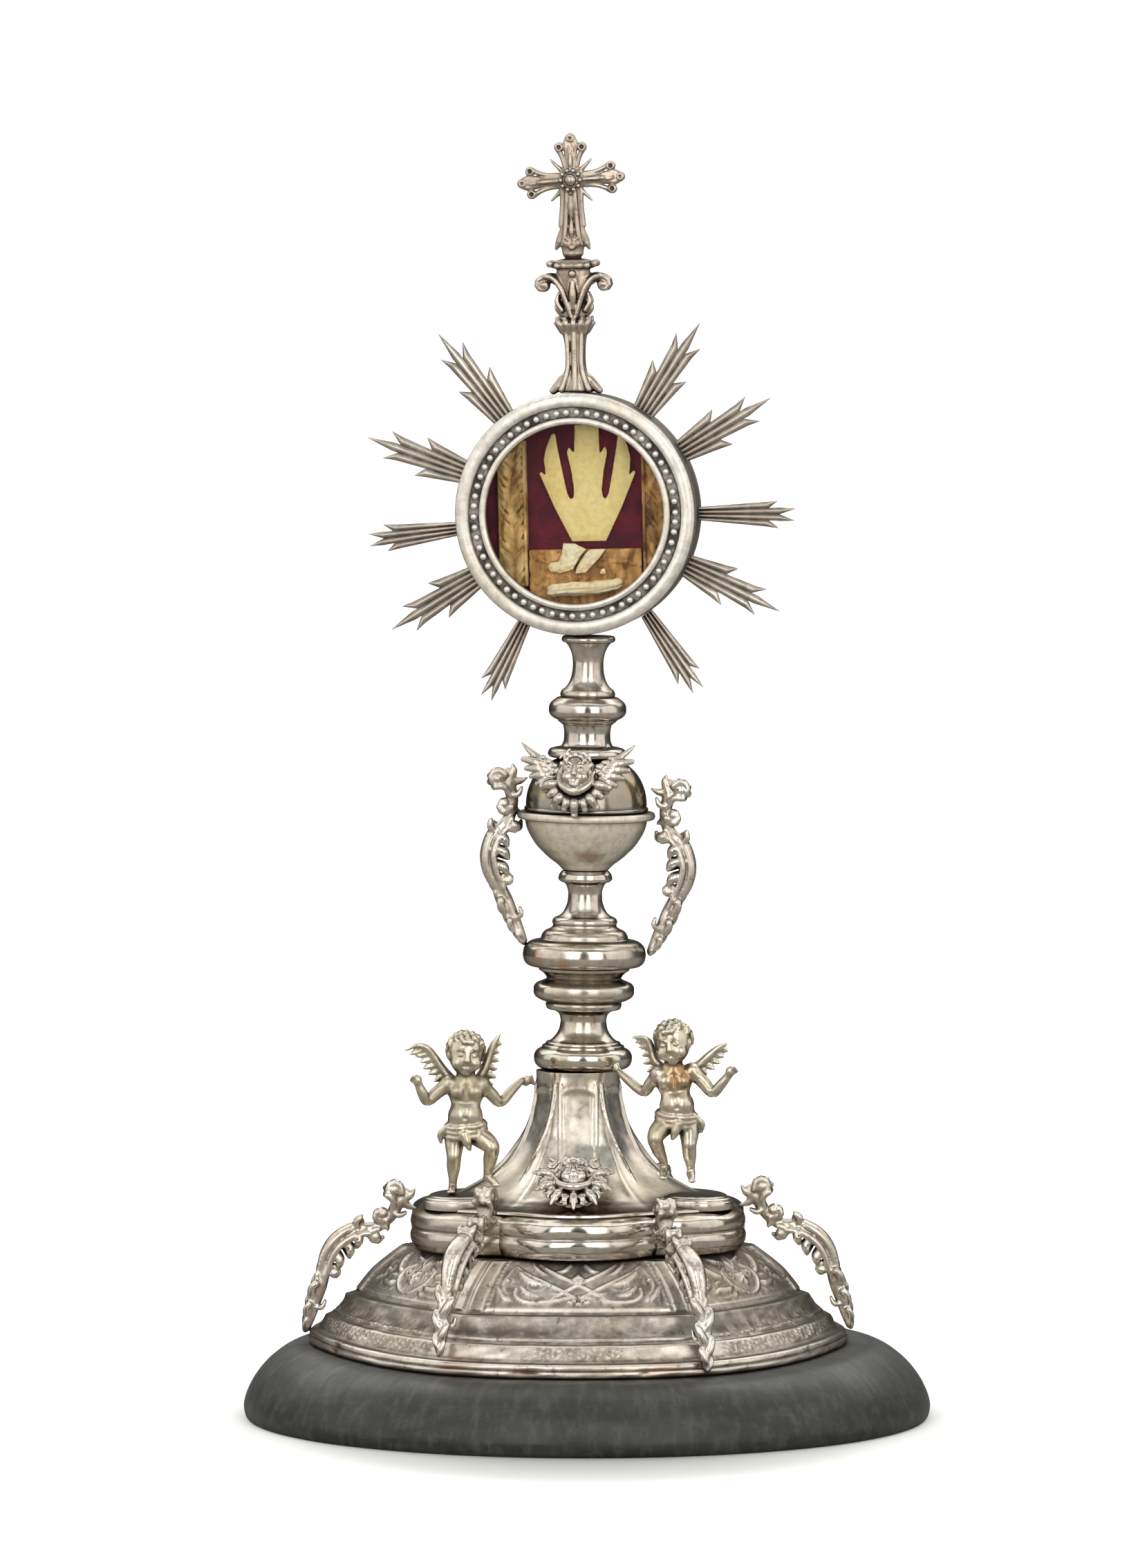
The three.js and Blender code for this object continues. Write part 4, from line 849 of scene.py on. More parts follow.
# Putti
def putto(left):
    """Standing with one knee raised. x points to the stem, y back and z up from the footing."""
    clay = Clay((-22, -9, -0.5), (28, 16, 59), 0.43)
    lean = 0.0 if left else 0.8
    hip, chest = (1.0, 0, 21.6), (1.2 + lean, 0, 34.6)
    # trunk: hips, belly, chest, shoulders
    clay.ball(hip, (7.0, 4.7, 4.6), 1.5)
    clay.ball((0.9, -0.9, 26.6), (5.9, 4.9, 5.2), 2.4)
    clay.ball(chest, (6.2, 4.1, 5.6), 2.6)
    for side in (-1, 1):
        clay.ball((chest[0] + side * 2.9, -2.6, 34.8), (2.6, 1.9, 2.1), 1.4)
        clay.ball((1.0 + side * 4.0, 3.0, 19.8), (3.2, 2.8, 3.2), 1.5)
    clay.rod([[chest[0], -3.9, 37.2, 0.4], [1.1 + lean / 2, -4.9, 32.6, 0.5], [0.9, -5.9, 28.6, 0.3]],
        1.6, cut=True)
    clay.ball((0.9, -5.9, 26.0), (0.6, 0.8, 0.6), 0.6, cut=True)
    clay.rod([[chest[0] - 4.4, -3.6, 32.2, 0.3], [chest[0], -4.5, 31.2, 0.3],
        [chest[0] + 4.4, -3.6, 32.2, 0.3]], 1.2, cut=True)
    # neck and head
    head = np.array((1.0, -1.2, 47.6) if left else (2.2, -1.8, 47.8))
    clay.rod([[chest[0], 0, 38, 3.4], [head[0], -0.3, 43, 2.9]], 1.6)
    clay.ball(head + (0, 0.7, 1.0), (6.1, 6.2, 6.3), 1.0)
    angles = (8, 4, 6) if left else (16, 9, 8)
    spin = reduce(np.matmul, (turn(axis, angle)[:3, :3] for axis, angle in zip("zyx", angles)))

    def on_face(x, y, z):
        return head + spin @ np.array((x, y, z), float)

    clay.ball(on_face(0, -1.4, -2.2), (5.0, 4.4, 4.6), 1.6)
    for side in (-1, 1):
        clay.ball(on_face(side * 2.9, -3.9, -2.6), (2.2, 1.9, 2.0), 1.2)
        clay.ball(on_face(side * 2.35, -5.9, 0.35), (1.45, 1.0, 0.9), 0.8, cut=True)
        clay.ball(on_face(side * 2.3, -4.75, 0.25), (1.15, 0.85, 0.68), 0.2)
        clay.rod([[*on_face(side * 1.4, -5.6, 0.0), 0.2], [*on_face(side * 3.3, -5.2, 0.0), 0.2]], 0.25,
            cut=True)
        clay.rod([[*on_face(side * 1.1, -5.5, 1.9), 0.22], [*on_face(side * 2.3, -5.55, 2.5), 0.28],
                  [*on_face(side * 3.6, -4.8, 1.9), 0.22]], 0.7)
        clay.ball(on_face(side * 5.6, 0.2, -0.8), (0.9, 1.3, 1.6), 0.6)
    clay.rod([[*on_face(0, -5.2, 1.2), 0.55], [*on_face(0, -6.0, -0.9), 0.8]], 0.7)
    clay.ball(on_face(0, -6.1, -1.3), (1.05, 0.8, 0.75), 0.4)
    clay.rod([[*on_face(-1.7, -5.5, -3.3), 0.3], [*on_face(0, -6.0, -3.6), 0.42],
        [*on_face(1.7, -5.5, -3.3), 0.3]], 0.4, cut=True)
    clay.ball(on_face(0, -5.3, -4.1), (1.2, 0.7, 0.5), 0.5)
    clay.ball(on_face(0, -4.3, -5.6), (1.7, 1.4, 1.3), 0.9)
    # hair in short locks from the crown
    rng = np.random.default_rng(7 if left else 11)
    for ring_, count in ((0.32, 6), (0.66, 11), (1.02, 14), (1.36, 14), (1.7, 12)):
        for k in range(count):
            a = 2 * PI * (k + 0.5 * rng.random()) / count
            if ring_ > 0.95 and math.cos(a + PI / 2) > (0.45 if ring_ < 1.2 else 0.1):
                continue
            s_, c_ = math.sin(ring_), math.cos(ring_)
            place = np.array((6.3 * s_ * math.cos(a), 0.6 + 6.4 * s_ * math.sin(a), 1.0 + 6.4 * c_))
            nxt = place + np.array((1.5 * math.cos(a + 1.0) * c_, 1.5 * math.sin(a + 1.0) * c_, -1.7 * s_))
            clay.rod([[*on_face(*place), 1.0], [*on_face(*nxt), 0.75]], 0.35)
    for k in (-1, 0, 1):
        clay.ball(on_face(1.3 * k, -4.6, 4.9), (0.95, 0.8, 0.9), 0.4)
    # arms
    if left:
        outer = [[-4.6, 0, 37.4, 2.4], [-8.4, -0.6, 34.6, 2.3], [-11.9, -1.8, 31.8, 1.9],
            [-13.6, -3.4, 34.4, 1.8], [-15.0, -4.2, 37.6, 1.35]]
        inner = [[6.2, 0.4, 37, 2.4], [9.6, 1.6, 33.8, 2.2], [12.8, 3.2, 30.8, 1.8],
            [16.4, 6.4, 34.2, 1.65], [19.8, 9.4, 37.4, 1.2]]
        hands = ((-15.4, -4.6, 39.0), (21.4, 11.4, 37.2))
    else:
        outer = [[-4.2, 0, 38, 2.4], [-8.0, -0.8, 34.4, 2.3], [-11.2, -2.2, 31.0, 1.9],
            [-14.2, -3.6, 34.0, 1.7], [-16.6, -4.4, 37.0, 1.3]]
        inner = [[7.0, 0.2, 37.2, 2.3], [9.8, 1.4, 33.8, 2.1], [12.2, 3.0, 30.8, 1.8],
            [17.0, 7.0, 34.0, 1.6], [20.4, 10.2, 36.8, 1.2]]
        hands = ((-17.2, -4.8, 38.4), (21.6, 11.6, 38.4))
    for arm, hand in zip((outer, inner), hands):
        clay.rod(arm, 0.9, steps=5)
        clay.ball(arm[0][:3], 2.8, 1.6)
        clay.ball(hand, (1.7, 1.6, 1.8), 0.7)
        for k in range(4):
            out = np.sign(hand[0])
            base = np.array(hand) + ((0.5 + 0.3 * k) * out, -0.9 + 0.5 * k, 1.0 - 0.5 * k)
            tip = base + ((0.9 * out, -0.9, 0.5) if out < 0 else (1.7, 1.1, 0.7 - 0.5 * k))
            clay.rod([[*base, 0.6], [*tip, 0.45]], 0.25)
        clay.rod([[arm[2][0], arm[2][1], arm[2][2] - 1.7, 0.2],
            [arm[2][0] + 0.6, arm[2][1] - 1.6, arm[2][2], 0.2]], 0.6, cut=True)
    # legs
    if left:
        legs = ([[-2.4, 0, 21, 3.7], [-2.8, -0.6, 17, 3.3], [-2.9, -1.5, 12.8, 2.55],
            [-3.1, -0.9, 9.2, 2.3], [-3.3, 0.1, 4.4, 1.5], [-3.4, 0.2, 2.4, 1.4]],
            [[4.6, -0.4, 20, 3.7], [7.6, -2.8, 18.2, 3.4], [9.9, -4.4, 16.0, 2.7], [9.4, -3.2, 12.2, 2.4],
            [8.6, -1.6, 7.8, 1.6], [8.5, -1.4, 6.2, 1.4]])
        feet = (((-3.4, 0.9, 1.1), (-3.8, -3.6, 0.9)), ((8.5, -1.2, 5.6), (11.4, -3.2, 3.2)))
    else:
        legs = ([[-2.6, 0, 21, 3.8], [-3.2, -1.4, 17.4, 3.4], [-3.2, -2.4, 13.2, 2.6],
            [-3.4, -1.6, 9.6, 2.3], [-3.8, -0.6, 5.6, 1.5], [-3.9, -0.6, 3.8, 1.4]],
            [[4.8, -0.6, 20, 3.7], [7.2, -3.2, 17.8, 3.3], [8.3, -4.8, 15.4, 2.7], [7.4, -2.2, 12.0, 2.3],
            [5.6, 1.6, 7.6, 1.6], [5.2, 2.4, 5.4, 1.4]])
        feet = (((-3.8, -0.2, 2.9), (-4.2, -4.2, 1.2)), ((5.2, 2.6, 4.6), (5.6, -0.6, 1.8)))
    for leg, (heel, toe) in zip(legs, feet):
        clay.rod(leg, 1.0, steps=5)
        knee, calf, heel, toe = (np.array(p, float)[:3] for p in (leg[2], leg[3], heel, toe))
        clay.ball(knee + (0, -1.2, 0), (1.9, 1.5, 1.9), 0.8)
        clay.ball(calf + (0, 1.0, 0), (1.9, 1.9, 3.0), 1.0)
        clay.rod([[*heel, 1.45], [*(heel * 0.4 + toe * 0.6 + (0, 0, 0.3)), 1.35], [*toe, 1.05]], 0.8)
        for k in range(4):
            clay.ball(toe + (-1.0 + 0.7 * k, -0.7 + 0.1 * k, -0.1), 0.62 - 0.05 * k, 0.2)
    # a twisted cloth round the hips
    for level, size in ((23.2, 1.05), (21.6, 0.95), (20.0, 0.85)):
        rows = []
        for k in range(13):
            a = 2 * PI * k / 12
            fall = 0.9 * math.cos(a - 0.8) + 0.25 * (k % 2)
            wide = 6.5 + (23.2 - level) * 0.14
            rows.append([1.0 + wide * math.cos(a), -0.1 + 4.8 * math.sin(a), level + fall, size])
        clay.rod(rows, 0.35)
    clay.rod([[0.6, -5.0, 20.4, 1.6], [1.6, -5.0, 17.6, 1.6], [2.4, -4.4, 15.4, 0.7]], 0.7)
    clay.rod([[-5.6, -2.2, 22.6, 0.9], [-7.6, -1.4, 20.2, 1.1], [-7.4, -0.8, 17.4, 0.6]], 0.5)
    # wings: an arm of short feathers and long ones that fan from it
    def wing(root, bow, feathers):
        clay.rod([[*root, 1.5], *bow], 0.6)
        for a, b in feathers:
            mid = (np.array(a) + np.array(b)) / 2 + (0, 0.3, 0)
            clay.rod([[*a, 1.2], [*mid, 1.25], [*b, 0.45]], 0.22, ((0.15, 1, 0), 0.4))

    if left:
        wing((-3.4, 3.0, 38.4), [[-6.8, 3.8, 42.0, 1.5], [-9.6, 3.6, 46.0, 1.4], [-12.2, 2.8, 49.2, 1.2],
            [-15.6, 2.0, 50.2, 0.9], [-19.4, 1.4, 48.6, 0.5]],
            [((-6.2, 3.4, 39.8), (-9.6, 2.6, 38.0)), ((-7.4, 3.6, 41.6), (-12.0, 2.4, 40.4)),
            ((-8.8, 3.4, 43.6), (-13.6, 2.0, 42.4)), ((-9.8, 3.2, 45.6), (-14.4, 1.8, 44.6)),
            ((-11.4, 2.8, 47.6), (-15.8, 1.6, 46.4)), ((-13.2, 2.4, 49.0), (-18.0, 1.2, 47.2))])
        wing((4.6, 3.2, 37.8), [[7.0, 4.6, 41.4, 1.5], [8.8, 5.4, 46.0, 1.4], [10.4, 5.6, 50.0, 1.2],
            [12.6, 5.4, 53.8, 0.5]], [((6.4, 4.4, 38.0), (10.2, 4.8, 36.6)),
            ((7.2, 4.8, 40.4), (11.6, 5.0, 39.0)), ((8.0, 5.0, 43.0), (12.0, 5.0, 41.8)),
            ((8.8, 5.4, 45.6), (12.4, 5.0, 44.6)), ((9.6, 5.4, 48.2), (12.6, 5.0, 47.6)),
            ((10.4, 5.6, 50.4), (13.2, 5.0, 50.6))])
    else:
        wing((-3.2, 3.2, 38.6), [[-6.8, 4.0, 40.0, 1.5], [-9.8, 4.2, 42.6, 1.5], [-12.8, 3.8, 45.2, 1.2],
            [-16.0, 3.2, 47.2, 0.5]], [((-6.4, 3.8, 39.0), (-9.4, 2.8, 36.6)),
            ((-8.4, 4.0, 40.4), (-12.0, 3.0, 38.4)), ((-10.0, 4.0, 42.0), (-13.8, 3.0, 40.4)),
            ((-11.8, 3.8, 43.8), (-15.2, 2.8, 42.6)), ((-13.2, 3.6, 45.2), (-16.6, 2.8, 44.8))])
        wing((5.0, 3.2, 38.2), [[8.2, 4.4, 41.4, 1.5], [9.6, 4.8, 45.6, 1.4], [11.4, 4.6, 48.6, 1.1],
            [15.8, 4.0, 49.2, 0.5]], [((7.6, 4.2, 39.0), (11.0, 4.4, 37.4)),
            ((8.6, 4.4, 41.4), (12.2, 4.4, 40.2)), ((9.2, 4.6, 43.8), (12.8, 4.2, 43.0)),
            ((9.8, 4.6, 46.0), (13.8, 4.0, 45.8)), ((11.0, 4.6, 48.0), (15.0, 3.8, 47.6))])
    # the crease between the legs
    clay.rod([[1.2, -4.6, 17.0, 0.5], [1.3, -2.0, 16.4, 0.6]], 0.8, cut=True)
    return clay.mesh()


# Masks
def small_face(clay, at, size):
    """A calm child's face that looks to -y from a place on x = 0; size is half its width."""
    at, k = np.array(at, float), size / 5.0

    def on(x, y, z):
        return at + np.array((x, y, z), float) * k

    def lump(place, radii, blend, cut=False):
        clay.ball(on(*place), np.array(radii) * k, blend, cut)

    def line(points, blend, cut=False):
        clay.rod([[*on(x, y, z), r * k] for x, y, z, r in points], blend, cut=cut)

    lump((0, 0.4, 0.6), (5.0, 3.8, 5.6), 0.9)
    lump((0, -1.0, -2.2), (4.0, 3.2, 3.6), 1.2)
    for _ in clay.mirrored(0):
        lump((2.5, -2.4, -1.9), (1.9, 1.6, 1.8), 0.7)
        lump((2.0, -4.1, 0.5), (1.2, 0.7, 0.7), 0.6, cut=True)
        lump((2.0, -3.1, 0.4), (1.0, 0.7, 0.55), 0.25)
        line([(0.9, -3.7, 2.0, 0.2), (2.1, -3.6, 2.6, 0.28), (3.2, -2.9, 2.0, 0.2)], 0.4)
    line([(0, -3.5, 1.4, 0.5), (0, -4.3, -0.8, 0.75)], 0.5)
    lump((0, -4.4, -1.1), (1.0, 0.7, 0.7), 0.3)
    line([(-1.4, -3.9, -2.9, 0.2), (0, -4.3, -3.1, 0.3), (1.4, -3.9, -2.9, 0.2)], 0.4, cut=True)
    lump((0, -3.2, -4.6), (1.5, 1.1, 1.1), 0.7)
    # curls round the brow
    for j in range(9):
        a = math.radians(-12 + 25.5 * j)
        c = on(4.9 * math.cos(a), -0.6 - 0.8 * math.sin(a), 1.2 + 5.0 * math.sin(a))
        clay.curl(c, FLAT, 90 * j, 1.0 if j % 2 else -1.0, 1.35 * k, 0.5 * k, 0.25, eye=1.1)
    for j in range(5):
        a = math.radians(30 + 30 * j)
        lump((3.5 * math.cos(a), -2.7, 1.8 + 3.4 * math.sin(a)), (0.95, 0.8, 0.95), 0.3)


def cherub_mask():
    clay = Clay((-21, -6, -15), (21, 7, 13), 0.38)
    clay.rod([[0, 1.0, 0, 2.8], [0, 3.2, 0, 2.4]], 0.6)
    clay.ball((0, 1.4, 0), (7.4, 2.6, 7.4), 0.8)
    small_face(clay, (0, -0.6, 1.6), 5.2)
    clay.rod([[-5.6, -1.0, 0.6, 0.9], [-4.6, -2.2, -3.0, 1.2], [0, -3.0, -5.4, 1.5], [4.6, -2.2, -3.0, 1.2],
              [5.6, -1.0, 0.6, 0.9]], 0.4)
    for _ in clay.mirrored(0):
        # the arm of the wing and its feathers
        clay.rod([[5, 1.2, 1, 2.2], [9, 0.6, 3.8, 1.7], [13.4, 0.8, 6.4, 1.3],
                  [17, 1.4, 9.2, 0.9], [19.4, 2.0, 11.6, 0.4]], 0.7, ((0, 1, 0), 0.7))
        tips = [(18.6, 2.4, 6.0), (17.4, 2.4, 2.9), (15.6, 2.2, 0.2), (13.4, 2.0, -2.4), (10.6, 1.8, -4.8)]
        roots = [(9.6, 0.8, 3.0), (8.6, 0.8, 1.6), (7.8, 0.8, 0.2), (7.0, 0.8, -1.2), (6.4, 0.9, -2.6)]
        for (rx, ry, rz), (tx, ty, tz) in zip(roots, tips):
            clay.rod([[rx, ry, rz, 1.4], [(rx + tx) / 2, ry - 0.9, (rz + tz) / 2 + 0.3, 1.6],
                      [tx, ty - 0.6, tz, 1.0]], 0.2, ((0, 1, 0), 0.7))
        for x, z in ((7.4, 3.6), (9.6, 5.0), (11.8, 6.4), (8.4, 1.2)):
            clay.ball((x, -0.2, z), (1.2, 0.9, 1.0), 0.3)
        clay.ball((12.6, 0.2, -6.0), 1.1, 0.4)
    # the ruff of leaves under the chin
    for j in range(9):
        a = math.radians(180 + 10 + 20 * j)
        long_ = 12.6 if j % 2 == 0 else 11.0
        root = (5.4 * math.cos(a), 0.6, -1.4 + 5.2 * math.sin(a))
        mid = (8.4 * math.cos(a), -1.3 if j % 2 == 0 else -0.2, -1.4 + 8.0 * math.sin(a))
        tip = (long_ * 0.92 * math.cos(a), 0.0, -1.4 + long_ * 0.92 * math.sin(a))
        clay.rod([[*root, 1.2], [*mid, 1.75], [*tip, 1.0]], 0.22)
        clay.ball(tip, 1.3, 0.25)
        clay.rod([[mid[0], mid[1] - 1.35, mid[2], 0.2], [tip[0], tip[1] - 0.9, tip[2], 0.15]], 0.3,
            cut=True)
    clay.ball((0, 1.4, -6.4), (7.4, 1.8, 5.0), 0.6)
    return clay.mesh()


def bell_mask():
    clay = Clay((-15, -6, -13), (15, 8.5, 10), 0.38)
    clay.rod([[0, 1.0, 0.6, 4.0], [0, 4.2, 0.6, 2.9]], 0.6)
    clay.ball((0, 0.8, 1.8), (5.6, 2.4, 5.6), 0.8)
    small_face(clay, (0, -0.6, 2.6), 4.4)
    # a rolled collar under the chin
    clay.rod([[-5.4, -1.2, 1.0, 0.8], [-4.0, -2.2, -1.8, 1.1], [0, -3.0, -3.4, 1.3], [4.0, -2.2, -1.8, 1.1],
              [5.4, -1.2, 1.0, 0.8]], 0.4)
    for j in range(13):
        a = math.radians(180 - 12 + 17 * j)
        long_ = 12.2 if j % 2 == 0 else 10.2
        c, s_ = math.cos(a), math.sin(a)
        out = np.array((c, s_ * 0.92))
        root = np.array((5.2 * out[0], 0.4, 1.2 + 4.8 * out[1]))
        mid = np.array((8.6 * out[0], -1.6 if j % 2 == 0 else -0.4, 1.2 + 8.0 * out[1]))
        tip = np.array((long_ * out[0], 0.2 - (0.8 if j % 2 == 0 else 0), 1.2 + long_ * out[1]))
        clay.rod([[*root, 1.1], [*mid, 1.35], [*tip, 0.55]], 0.2)
        clay.rod([[mid[0], mid[1] - 1.3, mid[2], 0.2], [tip[0], tip[1] - 0.6, tip[2], 0.12]], 0.3, cut=True)
        for turn_ in (-1, 1):
            side = np.array((-out[1], out[0])) * turn_
            spur = mid + (2.0 * out[0] + 1.1 * side[0], 0.2, 2.0 * out[1] + 1.1 * side[1])
            clay.rod([[*mid, 0.8], [*spur, 0.45]], 0.2)
    clay.ball((0, 1.2, -1.0), (8.6, 1.8, 7.6), 0.5)
    for _ in clay.mirrored(0):
        clay.curl((6.8, -0.8, 6.4), FLAT, 90, 1.1, 2.0, 0.7, 0.3)
    return clay.mesh()


# The case
def about_y(part):
    """Turns a shape made round Z to stand round Y: its height then points to the front."""
    points = part[0]
    return (np.stack([points[:, 0], -points[:, 2], points[:, 1]], -1), *part[1:])


def hoop(profile, sides, step):
    """A ring from a closed profile of [radius, height(, bulge)]."""
    line = outline([*profile, profile[0]], step)[:-1]
    n = len(line)
    points = around(line[:, 0:1], line[:, 1:2], fan_angles(sides)).reshape(-1, 3)
    k, i = np.meshgrid(np.arange(n), np.arange(sides), indexing="ij")
    k2, i2 = (k + 1) % n, (i + 1) % sides
    quads = np.stack([k * sides + i, k * sides + i2, k2 * sides + i2, k2 * sides + i], -1).reshape(-1, 4)
    return points, quads, []


def case_drum():
    return about_y(turned([[0.5, -9.9], [36.2, -9.9], [36.6, -9.6, -0.3], [37.2, -9.6, -0.2],
        [37.8, -10.0, 0.3], [39.4, -9.7, 0.2], [40.6, -8.6, 0.25], [40.9, -7.2, 0.15], [40.9, -6.2],
        [40.5, -5.9, -0.3], [40.9, -5.6, -0.3], [40.9, 5.2], [40.5, 5.5, -0.3], [40.9, 5.8, -0.3],
        [40.9, 8.98], [39.7, 8.98], [39.7, -8.6], [0.5, -8.6]], 144, 3))


BEADS, BEAD_CIRCLE, BEAD_HEIGHT, BEAD_RADIUS = 62, 34.62, 10.72, 1.12


def case_bezel():
    ring = hoop([[41.0, 9.12], [41.2, 9.9, 0.1], [40.8, 11.1, 0.2], [39.4, 11.85, 0.15],
        [37.8, 11.9, 0.1], [36.7, 11.3, 0.2], [36.3, 10.5], [36.0, 10.2, -0.3], [33.3, 10.2],
        [33.0, 10.5, -0.3], [32.8, 11.2], [32.1, 11.8, 0.25], [31.2, 11.8, 0.2], [30.6, 11.2, 0.25],
        [30.5, 10.4], [30.5, 9.12]], 200, 0.6)
    parts = [ring]
    # the channel the beads lie in is dark
    across = np.hypot(ring[0][:, 0], ring[0][:, 1])
    channel = (across > 32.95) & (across < 36.4) & (ring[0][:, 2] < 10.75)
    rows = [[math.sin(t), -math.cos(t)] for t in np.linspace(0.35, PI - 0.03, 8)]
    bead = turned([[max(BEAD_RADIUS * r, 0.03), BEAD_RADIUS * z] for r, z in rows], 12, 5)
    rng = np.random.default_rng(3)
    for k in range(BEADS):
        a = 2 * PI * (k + 0.12 * rng.random()) / BEADS
        size = 1 + 0.08 * (rng.random() - 0.5)
        place = (BEAD_CIRCLE * math.cos(a), BEAD_CIRCLE * math.sin(a), BEAD_HEIGHT)
        parts.append((bead[0] * size + place, *bead[1:]))
    shape = about_y(merged(parts))
    return (*shape, np.concatenate([channel, np.full(len(shape[0]) - len(channel), -1.0)]))


RAYS = [("broad", 127.3, 37.2), ("broad", 159.6, 36.8), ("narrow", 186.4, 32.6), ("broad", 210.5, 35.8),
        ("narrow", 241.8, 30.4), ("narrow", 302.9, 32.0), ("broad", 333.0, 35.8), ("narrow", 358.6, 33.4),
        ("broad", 29.6, 36.0), ("broad", 56.0, 36.2)]
SLIVERS = {  # half widths at the root, then left edge, right edge and tip as (out, across)
    "broad": [
        ((-4.0, -2.4), (13.6, -3.35), (12.2, -6.1), (16.6, -7.0)),
        ((-2.4, -0.8), (24.0, -1.25), (24.4, -4.2), (28.8, -5.0)),
        ((-0.8, 0.8), (26.4, 1.5), (26.4, -1.5), (36.4, 0.0)),
        ((0.8, 2.4), (24.4, 4.2), (24.0, 1.25), (28.8, 5.0)),
        ((2.4, 4.0), (12.2, 6.1), (13.6, 3.35), (16.6, 7.0)),
    ],
    "narrow": [
        ((-2.3, -1.2), (23.4, -2.05), (21.4, -4.1), (26.8, -4.8)),
        ((-1.2, 0.0), (27.0, 0.0), (27.4, -2.3), (32.4, -2.2)),
        ((0.0, 1.2), (27.4, 2.3), (27.0, 0.0), (32.6, 2.0)),
        ((1.2, 2.3), (21.4, 4.1), (23.4, 2.05), (26.4, 4.6)),
    ],
}
SECTION = [(0.0, 0.16), (0.12, 0.40), (0.36, 0.86), (0.5, 1.04), (0.64, 0.86), (0.88, 0.40), (1.0, 0.16)]


def ray(kind, length):
    """A sheaf of ridged slivers in the X-Z plane, pointing along x."""
    full = max(tip[0] for *_, tip in SLIVERS[kind])
    parts, dark = [], []
    rear_section = SECTION[::-1][1:-1:2]
    # painted shade: each sliver darker towards its edges, where it meets the next, and on its back; below 0
    # its ridge is rubbed bright
    shade = [-1.0 if h > 1 else 1.15 * (1 - h) for _, h in SECTION] + [0.3] * len(rear_section)
    for (low, high), left, right, tip in SLIVERS[kind]:
        (lx, lz), (rx, rz) = (right, left) if right[1] < left[1] else (left, right)
        rings = []
        for t in np.linspace(0, 1, 9):
            a = np.array((lx * t, low + (lz - low) * t))
            b = np.array((rx * t, high + (rz - high) * t))
            rings.append((a, b, 1 - 0.12 * t))
        for t in (0.35, 0.7, 0.93):
            a = np.array((lx, lz)) * (1 - t) + np.array(tip) * t
            b = np.array((rx, rz)) * (1 - t) + np.array(tip) * t
            rings.append((a, b, 0.88 - 0.55 * t))
        made = []
        for a, b, size in rings:
            front = [(*(a + (b - a) * s), -0.98 * h * size) for s, h in SECTION]
            rear = [(*(a + (b - a) * s), 0.75 * h * size) for s, h in rear_section]
            made.append([(x * length / full, y, z) for x, z, y in front + rear])
        parts.append(skin(np.array(made)))
        dark += [np.tile(shade, len(rings)), [0, 0]]
    return (*merged(parts), np.concatenate(dark))


